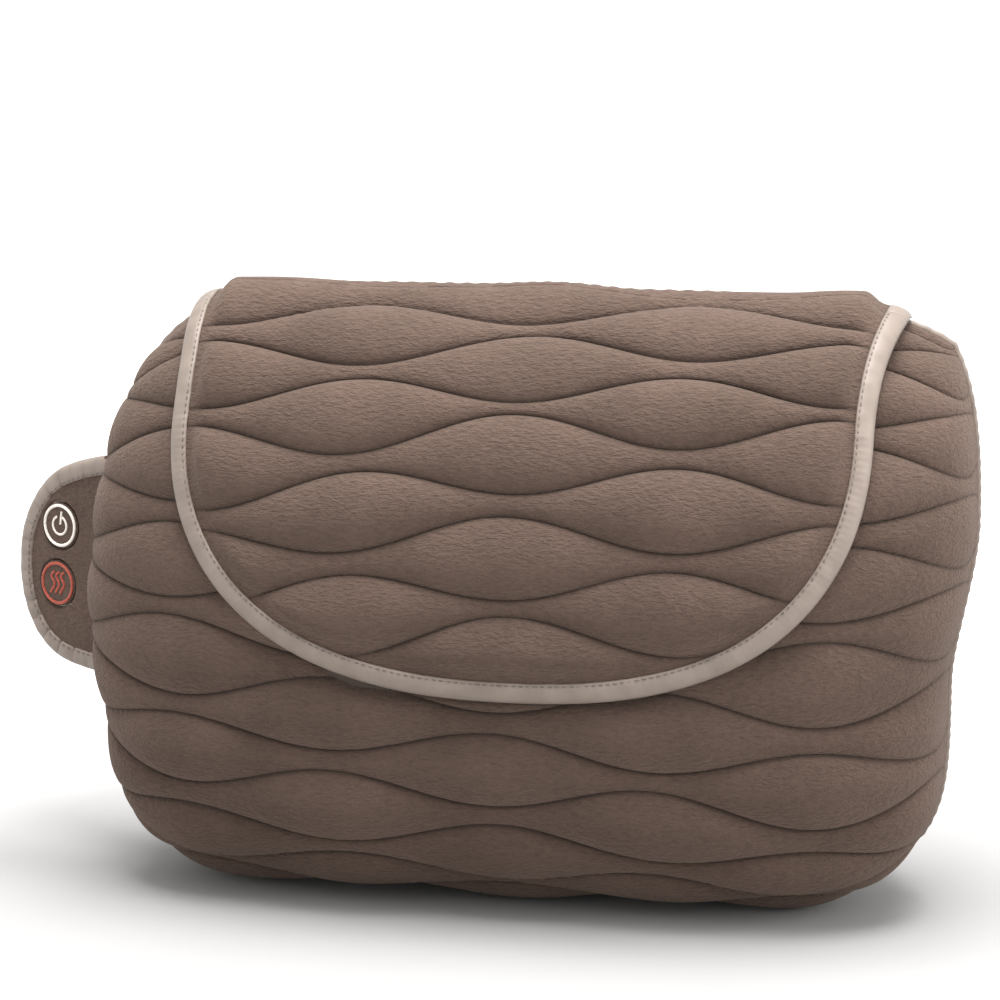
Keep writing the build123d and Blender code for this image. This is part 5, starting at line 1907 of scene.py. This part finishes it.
    def make_mark(self, mark: str, thread: str) -> bpy.types.Object:
        """Embroidered ring with a generic on or warmth sign inside.

        Args:
            mark: Which sign, power or heat.
            thread: Name of the thread finish.

        Returns:
            The finished piece.
        """
        parts = [self.thread_ring(self.mark_radius - 0.7, 1.4)]
        if mark == "power":
            parts.append(self.thread_ring(4.1, 1.1, radians(112), radians(316)))
            parts.append(self.thread_line(((0.5, 0.6), (0.7, 2.5), (1.0, 4.5), (1.4, 6.4)), 1.1))
        else:
            for shift in (-2.7, 0.2, 3.1):
                wisp = ((1.3, 5.2), (-0.6, 4.2), (-0.7, 2.3), (0.9, 0.6), (1.0, -1.4), (-0.6, -3.0),
                        (-1.4, -4.6))
                parts.append(self.thread_line([(x + shift, z) for x, z in wisp], 1.2))
        deselect()
        for part in parts:
            part.select_set(True)
        bpy.context.view_layer.objects.active = parts[0]
        bpy.ops.object.join()
        piece = bpy.context.object
        piece.name = piece.data.name = f"{mark}_mark_thread"
        points = np.empty(len(piece.data.vertices) * 3)
        piece.data.vertices.foreach_get("co", points)
        points = points.reshape(-1, 3)
        turn = np.arctan2(points[:, 2], points[:, 0])
        points[:, 1] *= 0.75 * (1 + 0.22 * np.sin(turn * 60))
        piece.data.vertices.foreach_set("co", points.ravel())
        piece.data.update()
        bpy.ops.object.shade_smooth()
        self.lay_on(piece, mark, -3.75)
        self.wardrobe.dress(piece, thread)
        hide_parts(f"{mark}_mark")
        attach(piece, f"{mark}_key")
        return piece

    def build(self) -> list[bpy.types.Object]:
        """Makes the tab's pieces.

        Returns:
            All pieces of the tab.
        """
        return [
            self.make_pad(),
            self.make_tape(),
            self.make_stitches(),
            self.make_key("power"),
            self.make_key("heat"),
            self.make_mark("power", "white_thread"),
            self.make_mark("heat", "red_thread"),
        ]


# ---- back details and hidden parts -------------------------------------------------------------------
@dataclass
class Zip:
    """Nylon coil zip in the back."""

    wardrobe: Wardrobe
    pitch: float = 1.9

    def make_coils(self) -> bpy.types.Object:
        """Rounded coil turns from both sides, which meet in the middle.

        Returns:
            The finished piece.
        """
        low, high = cad_box("zipper_coils")
        middle = (low + high) / 2
        deselect()
        bpy.ops.mesh.primitive_uv_sphere_add(segments=8, ring_count=6, radius=0.5 * MM)
        seed = bpy.context.object
        bpy.ops.transform.resize(value=(self.pitch * 0.92, (high - low)[1] * 0.98, (high - low)[2] * 0.55))
        bpy.ops.object.transform_apply(location=False, rotation=False, scale=True)
        count = int((high - low)[0] / self.pitch)
        index = np.arange(2 * count)
        upper = np.where(index % 2 == 0, 1.0, -1.0)
        x = low[0] + self.pitch * (index // 2 + 0.5 + 0.25 * upper)
        places = np.stack([x, np.full(2 * count, middle[1]), middle[2] + upper * (high - low)[2] * 0.22], 1)
        places[:, 0] = np.clip(places[:, 0], low[0] + 1, high[0] - 1)
        piece = copies("zip_coils", seed, places, np.repeat(np.eye(3)[None], 2 * count, axis=0))
        self.wardrobe.dress(piece, "nylon_coil")
        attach(piece, "body")
        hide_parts("zipper_coils")
        return piece


@dataclass
class CadParts:
    """The CAD nodes that stay in view, with real finishes by their material slot."""

    wardrobe: Wardrobe
    finishes: dict[str, str] = field(default_factory=lambda: {
        "fleece": "micro_fleece", "plain_cloth": "woven_cloth", "mesh_knit": "spacer_mesh",
        "binding_tape": "satin_tape", "lining": "flap_lining", "zip_tape": "zip_tape_twill",
        "zip_coil": "nylon_coil", "metal_trim": "zinc_plate", "foam": "polyurethane_foam",
        "black_plastic": "black_abs", "cable": "cable_pvc", "chassis_plastic": "ivory_abs",
        "steel": "mild_steel", "sintered_bronze": "sintered_bronze", "magnet": "ferrite",
        "brass_gear": "turned_brass", "gear_plastic": "acetal_gear", "node_plastic": "node_abs",
        "circuit_board": "circuit_laminate", "lamp": "red_lens", "white_print": "white_thread",
        "red_print": "red_thread",
    })

    def dress_all(self) -> None:
        """Gives every CAD node the finish of its slot."""
        slots = {part["node"]: part["material_slot"] for part in frame["record"]["subparts"]}
        for name, node in frame["nodes"].items():
            finish = self.wardrobe.made[self.finishes[slots[name]]]
            for holder in node.material_slots:
                holder.material = finish


# ---- studio ------------------------------------------------------------------------------------------
@dataclass
class Studio:
    """Pale floor, soft light and the camera."""

    azimuth: float = 12.0
    elevation: float = 10.0
    distance: float = 1500.0
    lens: float = 125.8
    aim: tuple[float, float] = (-13.3, 41.0)  # how far right of and above the body's middle the camera looks

    def aim_axes(self) -> tuple[Vector, Vector, Vector]:
        """Directions towards the camera, to its right and up.

        Returns:
            Three unit vectors.
        """
        a, e = radians(self.azimuth), radians(self.elevation)
        towards = Vector((sin(a) * cos(e), -cos(a) * cos(e), sin(e)))
        right = Vector((cos(a), sin(a), 0.0))
        return towards, right, towards.cross(right)

    def make_camera(self) -> bpy.types.Object:
        """Camera at eye height in front, a little to the right.

        Returns:
            The camera.
        """
        towards, right, up = self.aim_axes()
        middle = Vector((0.0, 0.0, 128.0 * MM))
        target = middle + right * self.aim[0] * MM + up * self.aim[1] * MM
        data = bpy.data.cameras.new("camera")
        data.lens = self.lens
        data.sensor_width = 36.0
        data.clip_end = 20.0
        camera = bpy.data.objects.new("camera", data)
        camera.matrix_world = Matrix.Translation(target + towards * self.distance * MM) @ Matrix(
            (right, up, towards)).transposed().to_4x4()
        bpy.context.scene.collection.objects.link(camera)
        bpy.context.scene.camera = camera
        return camera

    def make_floor(self) -> bpy.types.Object:
        """Large pale floor, painted grey near the pillow as shade.

        Returns:
            The floor.
        """
        deselect()
        bpy.ops.mesh.primitive_plane_add(size=14.0, location=(0, 0, -0.0004))
        floor = bpy.context.object
        floor.name = "studio_floor"
        ink = Ink("studio_paper")
        grain = ink.noise(60.0, 2.0)
        # Painted shade: the floor is grey within 0.25 m of the middle and turns white by about 1.3 m. This cancels
        # the key light's bright pool near the pillow and dims the light the floor throws back onto it.
        away = ink.add("ShaderNodeVectorMath", {0: ink.place}, operation="LENGTH").outputs["Value"]
        reach = ink.add("ShaderNodeMapRange", {0: away, 1: 0.25, 2: 1.6}).outputs[0]
        shaded_paper = ink.ramp(reach, ((0.0, "#a3a2a1"), (0.28, "#dddcdb"), (0.75, "#ffffff")))
        shaded_paper = ink.mix(0.1, shaded_paper, ink.ramp(grain, ((0.3, "#f4f4f3"), (0.7, "#ffffff"))), "MULTIPLY")
        floor.data.materials.append(ink.wire(Base_Color=shaded_paper, Roughness=0.9))
        return floor

    def make_light(self, name: str, place: tuple, size: float, power: float, tint: str = "#ffffff") -> None:
        """Adds a square soft light that faces the pillow.

        Args:
            name: Name of the light.
            place: Where it hangs, in metres.
            size: Width, in metres.
            power: Power, in watts.
            tint: Hex colour.
        """
        data = bpy.data.lights.new(name, "AREA")
        data.size, data.energy, data.color = size, power, linear(tint)[:3]
        light = bpy.data.objects.new(name, data)
        spot = Vector(place)
        facing = (spot - Vector((0, 0, 0.12))).to_track_quat("Z", "Y")
        light.matrix_world = Matrix.Translation(spot) @ facing.to_matrix().to_4x4()
        bpy.context.scene.collection.objects.link(light)

    def make_world(self) -> None:
        """White surroundings."""
        world = bpy.data.worlds.new("studio_world")
        world.use_nodes = True
        world.node_tree.nodes["Background"].inputs[0].default_value = linear("#ffffff")
        world.node_tree.nodes["Background"].inputs[1].default_value = 1.04
        bpy.context.scene.world = world
        bpy.context.scene.view_settings.view_transform = "Standard"

    def build(self) -> None:
        """Sets up the studio."""
        self.make_camera()
        self.make_floor()
        self.make_world()
        self.make_light("key", (0.15, -0.15, 2.1), 1.5, 97.0)
        self.make_light("side", (1.9, -0.5, 0.9), 1.0, 22.0)


def main() -> None:
    """Builds the pillow in order and reports each piece."""
    logging.basicConfig(level=logging.INFO, format="%(name)s: %(message)s")
    Studio().build()
    wardrobe = Wardrobe()
    CadParts(wardrobe).dress_all()
    form = PillowForm()
    covers = Covers(form, wardrobe)
    made = [covers.make_front(), covers.make_screen(), covers.make_back()]
    made += covers.make_side_tapes()
    made += Flap(form, wardrobe).build()
    made += ControlTab(wardrobe).build()
    made.append(Zip(wardrobe).make_coils())
    for piece in made:
        LOG.info("%s: %d faces", piece.name, len(piece.data.polygons))


if __name__ == "__main__":
    main()
